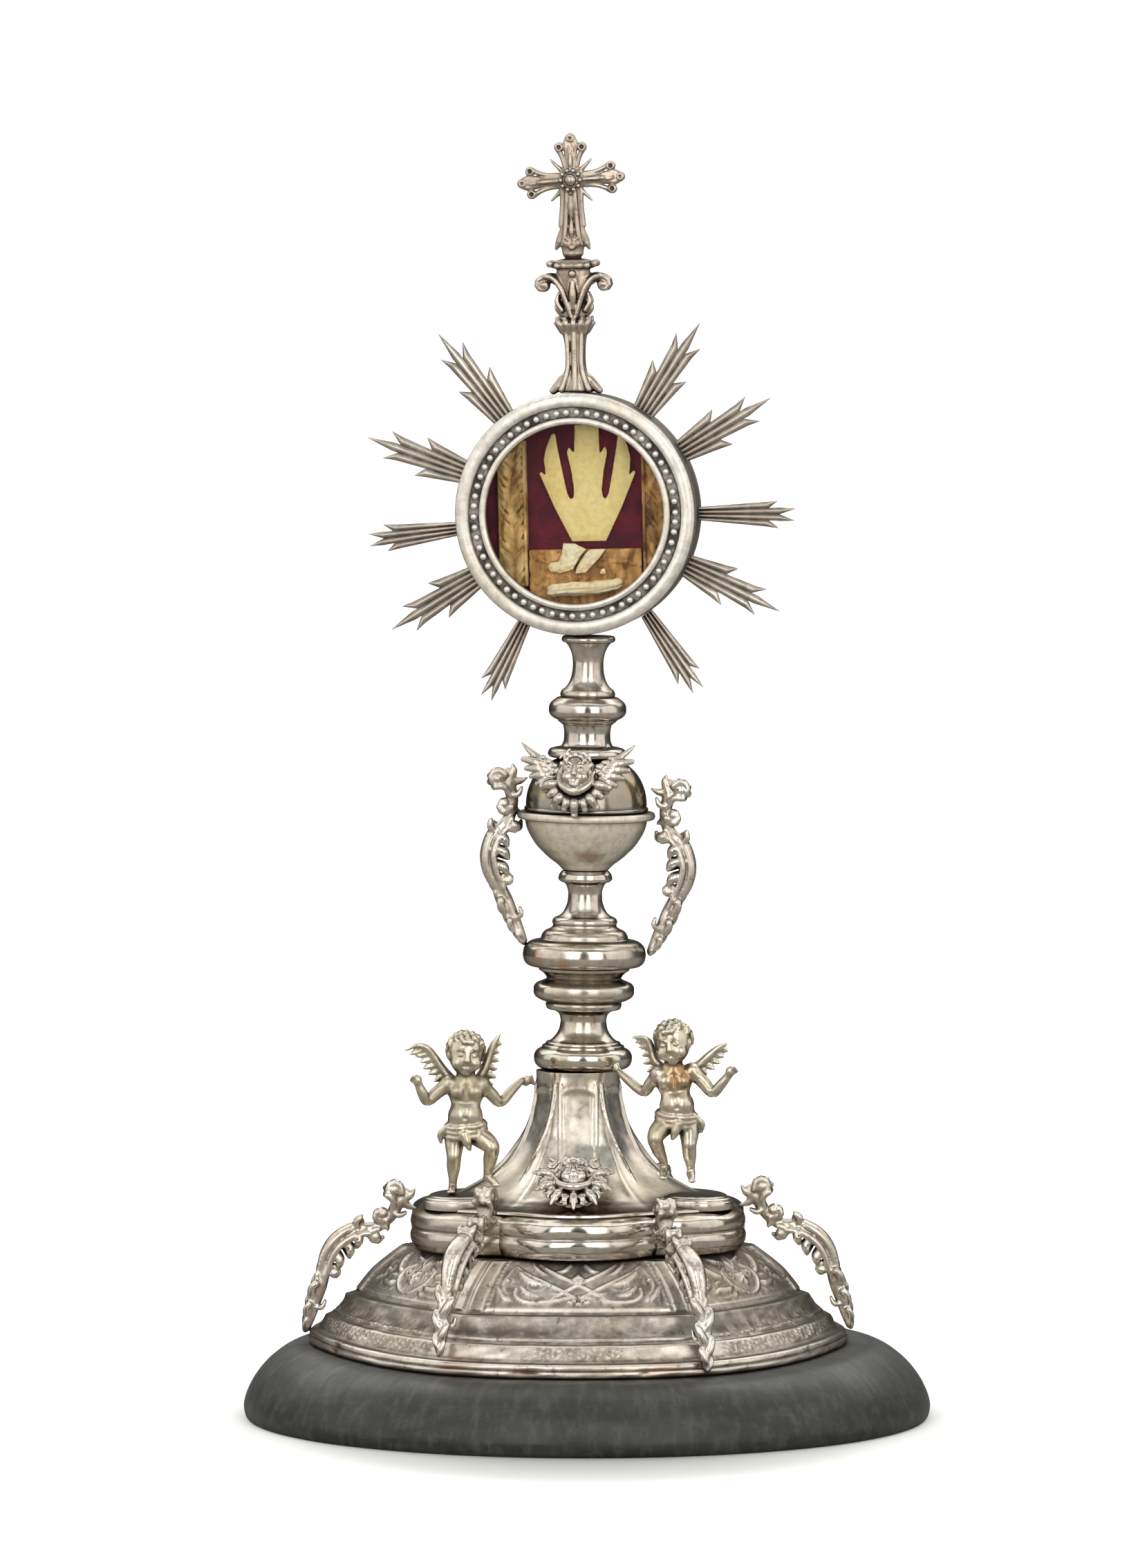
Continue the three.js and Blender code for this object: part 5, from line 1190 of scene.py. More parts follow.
def finial_stem():
    clay = Clay((-14, -6, -1.6), (14, 6, 46), 0.42)
    flat = ((0, 1, 0), 0.62)
    clay.rod([[0, 0, 0.2, 5.6], [0, 0, 3.2, 5.0], [0, 0, 6.4, 3.9], [0, 0, 11, 3.5], [0, 0, 16, 3.7],
        [0, 0, 20.6, 4.3]], 0.5, flat)
    clay.rod([[0, 0, 21, 4.2], [0, 0, 25, 4.0], [0, 0, 30, 4.3], [0, 0, 36, 5.2], [0, 0, 40, 5.8]], 0.8,
        ((0, 1, 0), 0.5))
    clay.ball((0, 0, 42.6), (8.0, 4.2, 1.5), 0.5)
    clay.ball((0, 0, 44.0), (6.6, 3.4, 1.1), 0.4)
    for _ in clay.mirrored(1):
        for x, wide in ((-2.7, 0.9), (0, 1.15), (2.7, 0.9)):
            clay.rod([[x * 1.7, 2.6, 0.6, wide + 0.3], [x * 1.2, 2.6, 4.4, wide], [x * 0.85, 2.1, 9, wide],
                      [x * 0.9, 2.1, 16, wide], [x, 2.3, 20, wide * 0.8]], 0.35)
        # leaves of the collar
        for x in (-4.6, -2.4, 0, 2.4, 4.6):
            clay.rod([[x * 0.8, 2.0, 20.4, 1.0], [x * 1.05, 2.9, 23.0, 1.2], [x * 1.28, 2.6, 25.2, 0.5]],
                     0.25)
        # bands that rise to the volutes, with a long leaf between them
        for _ in clay.mirrored(0):
            clay.rod([[0.8, 2.2, 25.4, 0.8], [2.4, 2.5, 30.4, 0.95], [4.2, 2.6, 35.2, 1.0],
                      [6.8, 2.2, 38.4, 1.0], [9.4, 1.9, 39.2, 0.9]], 0.3)
            clay.curl((10.3, 1.5, 36.3), FLAT, 90, -1.3, 2.6, 0.95, 0.35)
            clay.rod([[4.0, 1.8, 27.6, 0.9], [5.6, 1.8, 30.4, 0.9], [5.0, 1.6, 33.4, 0.5]], 0.3)
            clay.ball((7.7, 2.3, 43.4), 1.3, 0.3)
        clay.rod([[0, 2.3, 28.4, 0.9], [0, 2.7, 33, 1.3], [0, 2.7, 37.4, 0.8]], 0.35)
        clay.ball((0, 2.9, 40.0), 1.35, 0.3)
        for x in (-5.2, -2.6, 0, 2.6, 5.2):
            clay.ball((x, 3.4, 42.7), (1.2, 0.8, 1.0), 0.25)
    for _ in clay.mirrored(0):
        clay.rod([[5.2, 0, 37.6, 2.0], [8.2, 0, 38.8, 1.6], [10.8, 0, 37.4, 1.7]], 0.6)
        clay.ball((10.4, 0, 36.2), (2.4, 2.2, 2.4), 0.5)
        clay.rod([[4.2, 0, 20.6, 1.3], [5.8, 0, 22.8, 1.1], [6.9, 0, 23.2, 0.5]], 0.4)
        clay.rod([[4.2, 0, 26.2, 1.2], [5.8, 0, 28.2, 1.0], [6.0, 0, 30.0, 0.5]], 0.4)
        clay.rod([[4.4, 0, 4.2, 1.6], [6.2, 0, 1.8, 1.7], [7.9, 0, 0.2, 1.3]], 0.7)
    # seated on the round of the case
    x, _, z = clay.axes()
    clay.trim(CASE_RADIUS + 0.25 - np.hypot(x, z + FINIAL_FOOT))
    return clay.mesh()


CROSSING = 26.4


def finial_cross():
    clay = Clay((-21, -4.6, -0.5), (21, 4.6, 44), 0.36)
    flat = ((0, 1, 0), 0.5)
    clay.rod([[0, 0, 1.6, 3.3], [0, 0, 5, 4.2], [0, 0, 9, 3.9], [0, 0, 16, 3.2], [0, 0, 23, 3.2],
        [0, 0, 27, 3.2]], 0.5, ((0, 1, 0), 0.46))
    clay.ball((0, 0, 1.5), (3.6, 2.2, 1.5), 0.4)
    for _ in clay.mirrored(0):
        clay.rod([[3.0, 0, 9.4, 1.4], [4.4, 0, 5.8, 1.4], [5.7, 0, 3.2, 0.6]], 0.35, ((0, 1, 0), 0.8))
        clay.rod([[3.1, 0, 24, 0.9], [3.3, 0, 17, 0.9], [3.9, 0, 11, 0.9]], 0.3)
        for _ in clay.mirrored(1):
            clay.rod([[1.4, 1.5, 22.6, 0.7], [1.7, 1.6, 15, 0.85], [2.3, 1.7, 8, 0.9],
                      [3.4, 1.5, 4.4, 0.5]], 0.25)
            clay.curl((1.9, 1.9, 5.0), FLAT, 90, 1, 1.6, 0.55, 0.25)
    for _ in clay.mirrored(1):
        clay.rod([[0, 1.7, 20.8, 0.7], [0, 2.0, 17.4, 1.1], [0, 1.8, 13.4, 0.6]], 0.3)
        clay.rod([[0, 1.7, 12.4, 0.6], [0, 2.0, 9.2, 1.0], [0, 1.8, 6.4, 0.5]], 0.3)
        clay.ball((0, 2.1, 3.6), 1.1, 0.3)
    # arms that end in three-lobed flowers
    for reach, degrees in ((18.6, 3), (15.9, 90), (18.6, 183)):
        a = math.radians(degrees)
        along, across = np.array((math.cos(a), 0, math.sin(a))), np.array((-math.sin(a), 0, math.cos(a)))

        def at(out, wide, y=0.0):
            return np.array((0, y, CROSSING)) + along * out + across * wide

        clay.rod([[*at(1, 0), 2.4], [*at(reach - 10, 0), 2.1], [*at(reach - 7.6, 0), 2.0]], 0.5, flat)
        for side in (-1, 1):
            clay.rod([[*at(3.4, side * 1.9), 0.75], [*at(reach - 10.5, side * 2.3), 0.8],
                [*at(reach - 7.8, side * 3.1), 0.85], [*at(reach - 5.4, side * 4.3), 1.0]], 0.25)
            clay.ball(at(reach - 4.7, side * 3.9), (1.7, 1.35, 1.7), 0.3)
            clay.rod([[*at(reach - 7.6, side * 1.2), 0.9], [*at(reach - 3.6, side * 1.5), 1.1],
                [*at(reach - 1.6, side * 0.9), 0.8]], 0.22, ((0, 1, 0), 0.8))
            for face in (-1, 1):
                clay.ball(at(reach - 4.7, side * 3.9, face * 1.3), (0.85, 1.1, 0.85), 0.2, cut=True)
        clay.ball(at(reach - 1.7, 0), (1.75, 1.3, 1.75), 0.3)
        clay.rod([[*at(reach - 9, 0), 0.9], [*at(reach - 5, 0, 0), 1.2], [*at(reach - 2.4, 0), 0.7]], 0.3)
        for face in (-1, 1):
            clay.rod([[*at(3.6, 0, face * 1.0), 0.6], [*at(reach - 9.6, 0, face * 1.2), 0.75],
                [*at(reach - 7, 0, face * 1.1), 0.4]], 0.25)
            clay.rod([[*at(reach - 6.6, 0, face * 1.4), 0.4], [*at(reach - 3.2, 0, face * 1.4), 0.5]],
                0.3, cut=True)
            clay.ball(at(reach - 1.7, 0, face * 1.4), (0.7, 0.9, 0.7), 0.2, cut=True)
    # a small glory of spikes round a domed boss
    for k in range(16):
        if k % 4 == 0:
            continue
        a = 2 * PI * k / 16
        out = 9.8 if k % 4 == 2 else 6.0
        clay.rod([[2 * math.cos(a), 0.2, CROSSING + 2 * math.sin(a), 1.15],
                  [out * math.cos(a), 0.2, CROSSING + out * math.sin(a), 0.42]], 0.3)
    clay.ball((0, 0, CROSSING), (4.4, 2.2, 4.4), 0.4)
    for _ in clay.mirrored(1):
        clay.ball((0, 2.2, CROSSING), (2.0, 1.4, 2.0), 0.25)
        for k in range(10):
            a = 2 * PI * k / 10
            clay.ball((3.3 * math.cos(a), 1.9, CROSSING + 3.3 * math.sin(a)), 0.8, 0.2)
    return clay.mesh()


# The relic display behind the glass: [x, z] from the middle of the window
GILT_HALF = [[5.9, -9.9], [11.6, 1.6], [16.6, 13.3], [16.0, 14.1], [14.4, 12.5], [15.0, 18.2], [14.2, 22],
    [12.2, 26.6], [10.8, 27.2], [10.1, 22], [8.5, 13.4], [7.1, 6.4], [6.1, 4.5], [5.1, 5.0], [4.8, 7.6],
    [5.6, 14], [7.0, 20.4], [6.3, 22.4], [4.4, 20.0], [4.3, 25], [4.2, 29.8]]
LEFT_CHIP = [[-5.8, -10.3], [-1.9, -10.5], [2.1, -12.5], [0.2, -14.4], [-1.2, -16.8], [-2.7, -19.3],
    [-7.2, -20.5], [-10.7, -19.6], [-11.2, -18.2], [-10.4, -16.9], [-7.6, -16.5], [-6.4, -14.2]]
RIGHT_CHIP = [[3.2, -12.6], [8.8, -12.4], [6.8, -15.2], [4.3, -17.8], [1.7, -20.4], [-1.9, -20.7],
    [-1.2, -18.4], [0.2, -16.3], [1.6, -14.2]]
THIRD_CHIP = [[7.0, -19.4], [8.1, -19.0], [8.8, -20.4], [8.2, -21.0], [6.6, -20.8]]
ON_PANEL = 4.4 - 0.3  # the velvet's front, a little inside it
DISPLAY_RADIUS = 35.4
GILT_MIDDLE = 2.6


def polygon_distance(shape, x, z):
    """Signed distance from the points x, z to a polygon, negative inside."""
    best, inside = np.inf, False
    for a, b in zip(shape, shape[1:] + shape[:1]):
        best = np.minimum(best, nearest(x, z, a, b)[1])
        crossing = (b[0] - a[0]) * (z - a[1]) / (b[1] - a[1] + 1e-12) + a[0]
        inside = inside ^ ((a[1] > z) != (b[1] > z)) & (x < crossing)
    return np.where(inside, -best, best)


def gilt_rays():
    right = [[GILT_MIDDLE + x, z] for x, z in GILT_HALF]
    left = [[GILT_MIDDLE - x, z] for x, z in GILT_HALF[::-1]]
    clay = Clay((-16, 2.2, -11.5), (21, 4.4, 31.5), 0.42)
    x, y, z = clay.axes()
    flat = polygon_distance(right + left, x, z)
    # the plate swells a little towards the middle of each prong
    clay.fill(flat, 3.35 - 0.34 * soft(-flat / 2.2) - y, y - ON_PANEL)
    return clay.mesh()


BLADE = ((0, 1, 0), 0.6)  # flattened from front to back


def straw_strip(inner, outer, side, seed):
    """An upright strip of plaited straw, cut round to the case, with slanting blades laid over it."""
    low, high = sorted((side * inner, side * outer))
    clay = Clay((low - 0.5, 0.4, -25.6), (high + 0.5, 4.4, 25.6), 0.46)
    x, y, z = clay.axes()
    rng = np.random.default_rng(seed)
    middle = (inner + outer) / 2
    for k in range(19):
        at = -25 + 2.8 * k + rng.normal() * 0.3
        long_ = 4.6 + rng.random()
        for way in (-1, 1):
            foot = side * middle + way * 0.5
            tip = foot + way * (3.2 + rng.random())
            clay.rod([[foot, 1.9, at, 0.55], [(foot + tip) / 2, 1.45, at + long_ * 0.45, 0.95],
                      [tip, 1.9, at + long_, 0.3]], 0.2, BLADE)
    hem = side * (inner + 0.7)
    clay.rod([[hem, 1.6, -25, 0.6], [hem, 1.5, 0, 0.6], [hem, 1.6, 25, 0.6]], 0.3)
    clay.fill(low - x, x - high, 1.9 + 0.15 * np.sin(z * 1.3) - y, y - ON_PANEL)
    clay.trim(np.hypot(x, z) - DISPLAY_RADIUS, np.abs(z) - 24.9, low - x, x - high)
    return clay.mesh()


def straw_floor():
    clay = Clay((-18.4, 0.4, -36), (21.4, 4.4, -12), 0.5)
    x, y, z = clay.axes()
    rng = np.random.default_rng(5)
    for k in range(46):
        a = np.array((rng.uniform(-17, 20), 1.75, rng.uniform(-32, -14)))
        slant = rng.uniform(-0.5, 0.9)
        b = a + np.array((math.cos(slant), 0, math.sin(slant))) * rng.uniform(3, 7)
        clay.rod([[*a, 0.4], [*((a + b) / 2 + (0, -0.25, 0.3)), 0.7], [*b, 0.3]], 0.25, BLADE)
    clay.fill(1.8 + 0.2 * np.sin(x * 0.9 + np.sin(z)) * np.sin(z * 1.1) - y, y - ON_PANEL)
    clay.trim(-18.0 - x, x - 21.0, z + 12.5, np.hypot(x, z) - DISPLAY_RADIUS, y - ON_PANEL)
    return clay.mesh()


CHIP_FRONT, CHIP_THICKNESS = -0.9, 1.5


def chip(shapes):
    """Flat scraps, each a little crowned and rough in front."""
    parts = []
    for shape in shapes:
        (left, bottom), (right, top) = np.min(shape, 0), np.max(shape, 0)
        clay = Clay((left - 1, CHIP_FRONT - 1, bottom - 1),
                    (right + 1, CHIP_FRONT + CHIP_THICKNESS + 0.6, top + 1), 0.26)
        x, y, z = clay.axes()
        flat = polygon_distance(shape, x, z)
        rough = 0.12 * np.sin(2.1 * x + 1.2 * np.sin(1.7 * z)) + 0.10 * np.sin(3.1 * z - x)
        crown = CHIP_FRONT + 0.5 - 0.5 * soft(-flat / 1.6) + rough
        clay.fill(flat, crown - y, y - CHIP_FRONT - CHIP_THICKNESS)
        parts.append(clay.mesh())
    return merged(parts)


def relic_roll():
    """A rolled and pleated scrap that lies across the foot of the display."""
    a = fan_angles(44)
    rng = np.random.default_rng(9)
    phase = rng.random(6) * 6
    rings = []
    for t in np.linspace(0, 1, 60):
        end = min(1.0, 6 * t + 0.55, 6 * (1 - t) + 0.62)
        x = -11.2 + 25.6 * t
        z = -27.0 + 3.1 * t + 0.5 * math.sin(t * 5 + 1)
        flute = 0.14 * np.sin(7 * a + phase[0] + 3 * t) + 0.10 * np.sin(11 * a + phase[1] - 4 * t)
        knot = 0.16 * math.sin(t * 19 + 1) + 0.08 * math.sin(t * 41)
        r = (2.1 + knot) * end + flute
        rings.append(np.stack([np.full_like(a, x) + 0.2 * np.sin(3 * a), -1.5 - r * np.cos(a),
            z + r * np.sin(a)], -1))
    return skin(np.array(rings))


# Materials
def wood_stain():
    s = Shade("black_stained_wood")
    grain = s.noise(26, 5, 0.65, 0.4, squeeze=(1.0, 4.0, 7.0))
    fine = s.noise(210, 4, 0.6, 0.2, squeeze=(0.35, 1.0, 2.4))
    # brush marks run down over the edge: they follow the angle round the base
    sweep = s.node("ShaderNodeTexGradient", gradient_type="RADIAL")
    s.plug(sweep.inputs[0], s.place)
    height = s.node("ShaderNodeSeparateXYZ")
    s.plug(height.inputs[0], s.place)
    round_base = s.node("ShaderNodeCombineXYZ")
    s.plug(round_base.inputs[0], s.maths("MULTIPLY", sweep.outputs[1], 60.0))
    s.plug(round_base.inputs[1], s.maths("MULTIPLY", height.outputs[2], 45.0))
    brush = s.noise(3.0, 5.0, 0.65, place=round_base.outputs[0])
    colour = s.ramp(grain, (0.3, (0.013, 0.014, 0.014)), (0.7, (0.030, 0.031, 0.029)))
    colour = s.mix(s.ramp(fine, (0.55, 0.0), (0.75, 0.4)), colour, (0.070, 0.070, 0.067))
    colour = s.mix(s.ramp(brush, (0.46, 0.0), (0.68, 0.6)), colour, (0.066, 0.067, 0.064))
    colour = s.mix(s.ramp(brush, (0.32, 0.5), (0.46, 0.0)), colour, (0.012, 0.012, 0.012))
    worn = s.ramp(s.edge(), (0.505, 0.0), (0.55, 1.0))
    colour = s.mix(s.maths("MULTIPLY", worn, 0.25), colour, (0.10, 0.09, 0.08))
    rough = s.ramp(s.noise(60, 4, 0.6), (0.3, 0.42), (0.7, 0.56))
    normal = s.bump(brush, 0.12, 0.5)
    normal = s.bump(fine, 0.22, 0.25, normal)
    normal = s.bump(s.noise(1300, 2, 0.5), 0.18, 0.05, normal)
    return s.surface(Base_Color=colour, Roughness=rough, Normal=normal, Specular_IOR_Level=0.42,
        Coat_Weight=0.15, Coat_Roughness=0.3)


def velvet():
    s = Shade("crimson_velvet")
    pile = s.noise(700, 4, 0.7)
    patch = s.ramp(s.noise(120, 3, 0.6, 0.5), (0.35, 0.0), (0.68, 1.0))
    colour = s.mix(patch, (0.085, 0.006, 0.018), (0.20, 0.012, 0.028))
    colour = s.mix(s.ramp(pile, (0.4, 0.5), (0.65, 0.0)), colour, (0.05, 0.004, 0.012))
    normal = s.bump(pile, 0.6, 0.12)
    normal = s.bump(s.noise(160, 2, 0.5), 0.4, 0.5, normal)
    return s.surface(Base_Color=colour, Roughness=0.92, Normal=normal, Sheen_Weight=0.5,
        Sheen_Roughness=0.4, Sheen_Tint=(0.9, 0.25, 0.3, 1))


def gilt():
    s = Shade("pale_gilt")
    cloud = s.ramp(s.noise(90, 4, 0.6, 0.4), (0.35, 0.0), (0.7, 1.0))
    colour = s.mix(cloud, (1.0, 0.82, 0.35), (0.96, 0.74, 0.27))
    colour = s.mix(s.ramp(s.noise(520, 4, 0.7), (0.35, 0.2), (0.6, 0.0)), colour, (0.40, 0.27, 0.10))
    # painted shade in the hollows and along the plate's edge
    colour = s.mix(s.ramp(s.hollow(1.6), (0.35, 0.7), (0.8, 0.0)), colour, (0.18, 0.10, 0.04))
    normal = s.bump(s.noise(420, 3, 0.6), 0.25, 0.12)
    return s.surface(Base_Color=colour, Metallic=0.1, Roughness=0.5, Normal=normal)


def straw(name, dark, middle, light):
    s = Shade(name)
    stalk = s.noise(150, 4, 0.6, 0.6, squeeze=(1.6, 1.0, 0.6))
    colour = s.ramp(stalk, (0.34, dark), (0.47, middle), (0.64, light))
    colour = s.mix(s.ramp(s.noise(60, 3, 0.6), (0.38, 0.5), (0.56, 0.0)), colour, dark)
    # painted shade in the gaps between the blades
    colour = s.mix(s.ramp(s.hollow(1.8), (0.38, 0.95), (0.86, 0.0)), colour, (0.045, 0.022, 0.01))
    normal = s.bump(s.noise(800, 3, 0.6, squeeze=(2.5, 1, 0.7)), 0.4, 0.12)
    return s.surface(Base_Color=colour, Metallic=0.1, Roughness=0.62, Specular_IOR_Level=0.3, Normal=normal)


def relic():
    s = Shade("old_bone_and_linen")
    colour = s.ramp(s.noise(130, 4, 0.65), (0.28, (0.80, 0.57, 0.28)), (0.46, (1.0, 0.84, 0.50)),
        (0.66, (1.0, 0.93, 0.66)))
    colour = s.mix(s.ramp(s.noise(600, 4, 0.7), (0.34, 0.4), (0.52, 0.0)), colour, (0.50, 0.32, 0.15))
    # painted shade in the hollows and where the scraps meet
    colour = s.mix(s.ramp(s.hollow(1.5), (0.3, 0.9), (0.85, 0.0)), colour, (0.12, 0.07, 0.035))
    normal = s.bump(s.noise(500, 4, 0.6), 0.45, 0.2)
    return s.surface(Base_Color=colour, Roughness=0.7, Normal=normal)


def glass():
    return Shade("window_glass").surface(Base_Color=(0.01, 0.01, 0.01, 1), Roughness=0.03, IOR=1.45,
        Alpha=0.04)


# stains: where, how wide and of what colour
CUP_STAINS = [((1.0, -15.0, 190.5), 8.0, (0.36, 0.26, 0.19)),
    ((19.0, -16.0, 198.0), 6.0, (0.50, 0.43, 0.29))]
COVER_STAINS = [((16.0, -13.0, 215.5), 6.5, (0.40, 0.29, 0.17)),
    ((-16.0, -13.0, 214.0), 4.0, (0.42, 0.36, 0.20))]
BALUSTER_STAINS = [((-17.0, -13.0, 157.5), 5.5, (0.52, 0.35, 0.25)),
    ((-8.0, -19.0, 156.0), 3.5, (0.60, 0.38, 0.24))]
CHEST_STAIN = ((31.4, -27.0, 119.0), 8.5, (0.44, 0.27, 0.13))
FOOT_STAINS = [((x, y, WOOD_TOP), size, (0.60, 0.43, 0.35)) for x, y, size in (
    (-45, -82, 11), (-22, -91, 7), (27, -88, 10), (40, -83, 7), (-84, -40, 9))]
SILVER = silver("old_silver")
BELL_SILVER = silver("bell_silver", bright=(0.77, 0.705, 0.63), dull=(0.64, 0.56, 0.485), rough=0.23,
    tarnish=0.3, grain=0.02)
CUP_SILVER = silver("cup_silver", bright=(0.88, 0.83, 0.72), dull=(0.74, 0.68, 0.54), rough=0.42,
    straw=0.7, tarnish=0.35, metallic=0.6, crease=2.6, stains=CUP_STAINS)
COVER_SILVER = silver("cover_silver", bright=(0.33, 0.295, 0.25), dull=(0.27, 0.225, 0.18), rough=0.2,
    tarnish=0.5, crease=2.6, stains=COVER_STAINS)
BALUSTER_SILVER = silver("baluster_silver", tarnish=0.5, stains=BALUSTER_STAINS)
FOOT_SILVER = silver("foot_silver", bright=(0.80, 0.735, 0.66), dull=(0.56, 0.485, 0.41), rough=0.34,
    tarnish=0.7, speckle=0.75, metallic=0.85, ground_and_shade=True, grain=0.3, stains=FOOT_STAINS)
CAST = silver("cast_silver", bright=(0.80, 0.745, 0.68), dull=(0.48, 0.41, 0.35), rough=0.26, tarnish=0.7,
    grime_and_shade=1.1, crease=2.4, grain=0.4, speckle=0.45, metallic=0.9)
MASK_SILVER = silver("mask_silver", bright=(0.65, 0.60, 0.54), dull=(0.39, 0.33, 0.275), rough=0.28,
    tarnish=0.7, grime_and_shade=1.2, crease=1.7, grain=0.3, speckle=0.45, metallic=0.95)
RAY_SILVER = silver("ray_silver", bright=(0.78, 0.70, 0.61), dull=(0.46, 0.38, 0.31), rough=0.34,
    tarnish=0.8, grime_and_shade=0.9, crease=1.7, grain=0.2, speckle=0.3, ground_and_shade=True, metallic=0.8)
PUTTO_LOOK = dict(bright=(0.74, 0.685, 0.555), dull=(0.47, 0.39, 0.27), rough=0.27, tarnish=0.9,
    grime_and_shade=1.15, crease=3.0, metallic=0.93, grain=0.4, speckle=0.4, straw=0.6)
PUTTO_SILVER = silver("putto_silver", **PUTTO_LOOK)
STAINED_PUTTO = silver("stained_putto_silver", stains=[CHEST_STAIN], **PUTTO_LOOK)
CASE_SILVER = silver("case_silver", bright=(0.90, 0.86, 0.80), dull=(0.76, 0.70, 0.62), rough=0.44,
    tarnish=0.35, crease=2.1, grime_and_shade=0.85, ground_and_shade=True, metallic=0.75)
FINIAL_SILVER = silver("finial_silver", bright=(0.46, 0.395, 0.33), dull=(0.27, 0.205, 0.155), rough=0.28,
    tarnish=0.85, grime_and_shade=1.15, crease=1.9, grain=0.4, speckle=0.5)


# Assembly
def part(name, shape, material, slot, matrix, sharp=40):
    """shape is points, quads and, where there are any, triangles and how dark each point's ground is, which
    on the rays is painted shade.
    """
    points, quads, tris, ground_and_shade = (*shape, *([], None)[len(shape) - 2 :])
    piece = make(name, points, quads, [name], material, slot, matrix, tris, sharp)
    if ground_and_shade is not None:
        piece.data.attributes.new("ground_and_shade", "FLOAT", "POINT").data.foreach_set("value",
            ground_and_shade.astype(np.float32))


part("wood_base", wood_base(), wood_stain(), "stained_wood", None)
part("foot", foot(), FOOT_SILVER, "silver", FOOTING, sharp=50)
part("shoulder", shoulder(), SILVER, "silver", FOOTING)
part("bell", bell(), BELL_SILVER, "silver", FOOTING)
for name, profile, look in (("lower_stem", LOWER_STEM, SILVER), ("baluster", BALUSTER, BALUSTER_SILVER),
        ("cup", CUP, CUP_SILVER), ("cover", COVER, COVER_SILVER), ("neck", NECK, SILVER)):
    part(name, turned(profile, 84, 1.0), look, "silver", STEM, sharp=35)

cast, hind_cast = bracket(), bracket(0.66)
TAIL = (92.6, 29.6)
BRACKETS = [  # direction in degrees, lift, how far the tail is bent down
    (0, 1.2, 0), (63, 0, 0), (117, 0, 0), (180, 0, 0), (240, 3.4, 2.4), (297.7, -0.4, 3.6),
]
for i, (angle, lift, bend) in enumerate(BRACKETS):
    stand = FOOTING @ turn("z", angle) @ shift(TAIL[0], 0, TAIL[1] + lift) @ turn("y", -45)
    shape = hind_cast if 0 < angle < 180 else cast
    placed = moved(shape[0], stand)
    placed[:, 2] -= bend * rise(-shape[0][:, 2], -17, 0)
    part(f"foot_bracket_{i + 1}", (placed, *shape[1:]), CAST, "cast_silver", None, sharp=60)
for name, angle, r, z in (("handle_right", 0, 22.0, 159.4), ("handle_left", 180, 20.2, 162.6)):
    part(name, cast, CAST, "cast_silver", STEM @ turn("z", angle) @ shift(r, 0, z) @ turn("y", -3),
        sharp=60)

part("putto_left", putto(True), PUTTO_SILVER, "cast_silver",
    FOOTING @ shift(-39.2, PAD_CENTRE[1], PAD_TOP + 0.3), sharp=60)
points, quads = putto(False)
part("putto_right", (points * (-1, 1, 1), quads[:, ::-1]), STAINED_PUTTO, "cast_silver",
     FOOTING @ shift(34.4, PAD_CENTRE[1], PAD_TOP + 3.9), sharp=60)
part("cherub_mask", cherub_mask(), MASK_SILVER, "cast_silver",
     STEM @ turn("z", -9) @ shift(0, -23.4, 220.5) @ turn("x", -12), sharp=60)
part("bell_mask", bell_mask(), MASK_SILVER, "cast_silver",
    FOOTING @ shift(-1.6, -41.2, 84.2) @ turn("x", -42) @ np.diag((1.12, 1.05, 1.12, 1.0)), sharp=60)

part("case_drum", case_drum(), CASE_SILVER, "silver", HEAD)
part("case_bezel", case_bezel(), CASE_SILVER, "silver", HEAD)
part("glass", about_y(turned([[0.5, 7.4], [39.2, 7.4], [39.4, 7.6], [39.4, 8.5], [39.2, 8.7], [0.5, 8.7]],
    128, 4)), glass(), "window_glass", HEAD)
part("velvet_panel", about_y(turned([[0.5, -8.5], [39.3, -8.5], [39.4, -4.8], [39.0, -4.4], [0.5, -4.4]],
    96, 6)), velvet(), "velvet", HEAD)
part("gilt_rays", gilt_rays(), gilt(), "gilt", HEAD)
GOLD_STRAW = straw("gilt_straw", (0.26, 0.13, 0.04), (0.72, 0.44, 0.15), (0.98, 0.72, 0.32))
BROWN_STRAW = straw("brown_straw", (0.16, 0.07, 0.025), (0.52, 0.27, 0.085), (0.86, 0.50, 0.18))
part("border_left", straw_strip(18.3, 28.4, -1, 21), GOLD_STRAW, "straw_work", HEAD, sharp=60)
part("border_right", straw_strip(21.3, 33.0, 1, 22), BROWN_STRAW, "straw_work", HEAD, sharp=60)
part("border_floor", straw_floor(), BROWN_STRAW, "straw_work", HEAD, sharp=60)
RELIC = relic()
part("relic_left", chip([LEFT_CHIP]), RELIC, "relic", HEAD)
part("relic_right", chip([RIGHT_CHIP, THIRD_CHIP]), RELIC, "relic", HEAD)
part("relic_roll", relic_roll(), RELIC, "relic", HEAD)
for i, (kind, angle, length) in enumerate(RAYS):
    part(f"ray_{i + 1}", ray(kind, length), RAY_SILVER, "cast_silver",
        HEAD @ turn("y", -angle) @ shift(CASE_RADIUS + 0.3, 0, 0), sharp=25)
part("finial_stem", finial_stem(), FINIAL_SILVER, "cast_silver", HEAD @ shift(0, 0, FINIAL_FOOT), sharp=60)
part("finial_cross", finial_cross(), FINIAL_SILVER, "cast_silver", HEAD @ shift(0, 0, CROSS_FOOT), sharp=60)

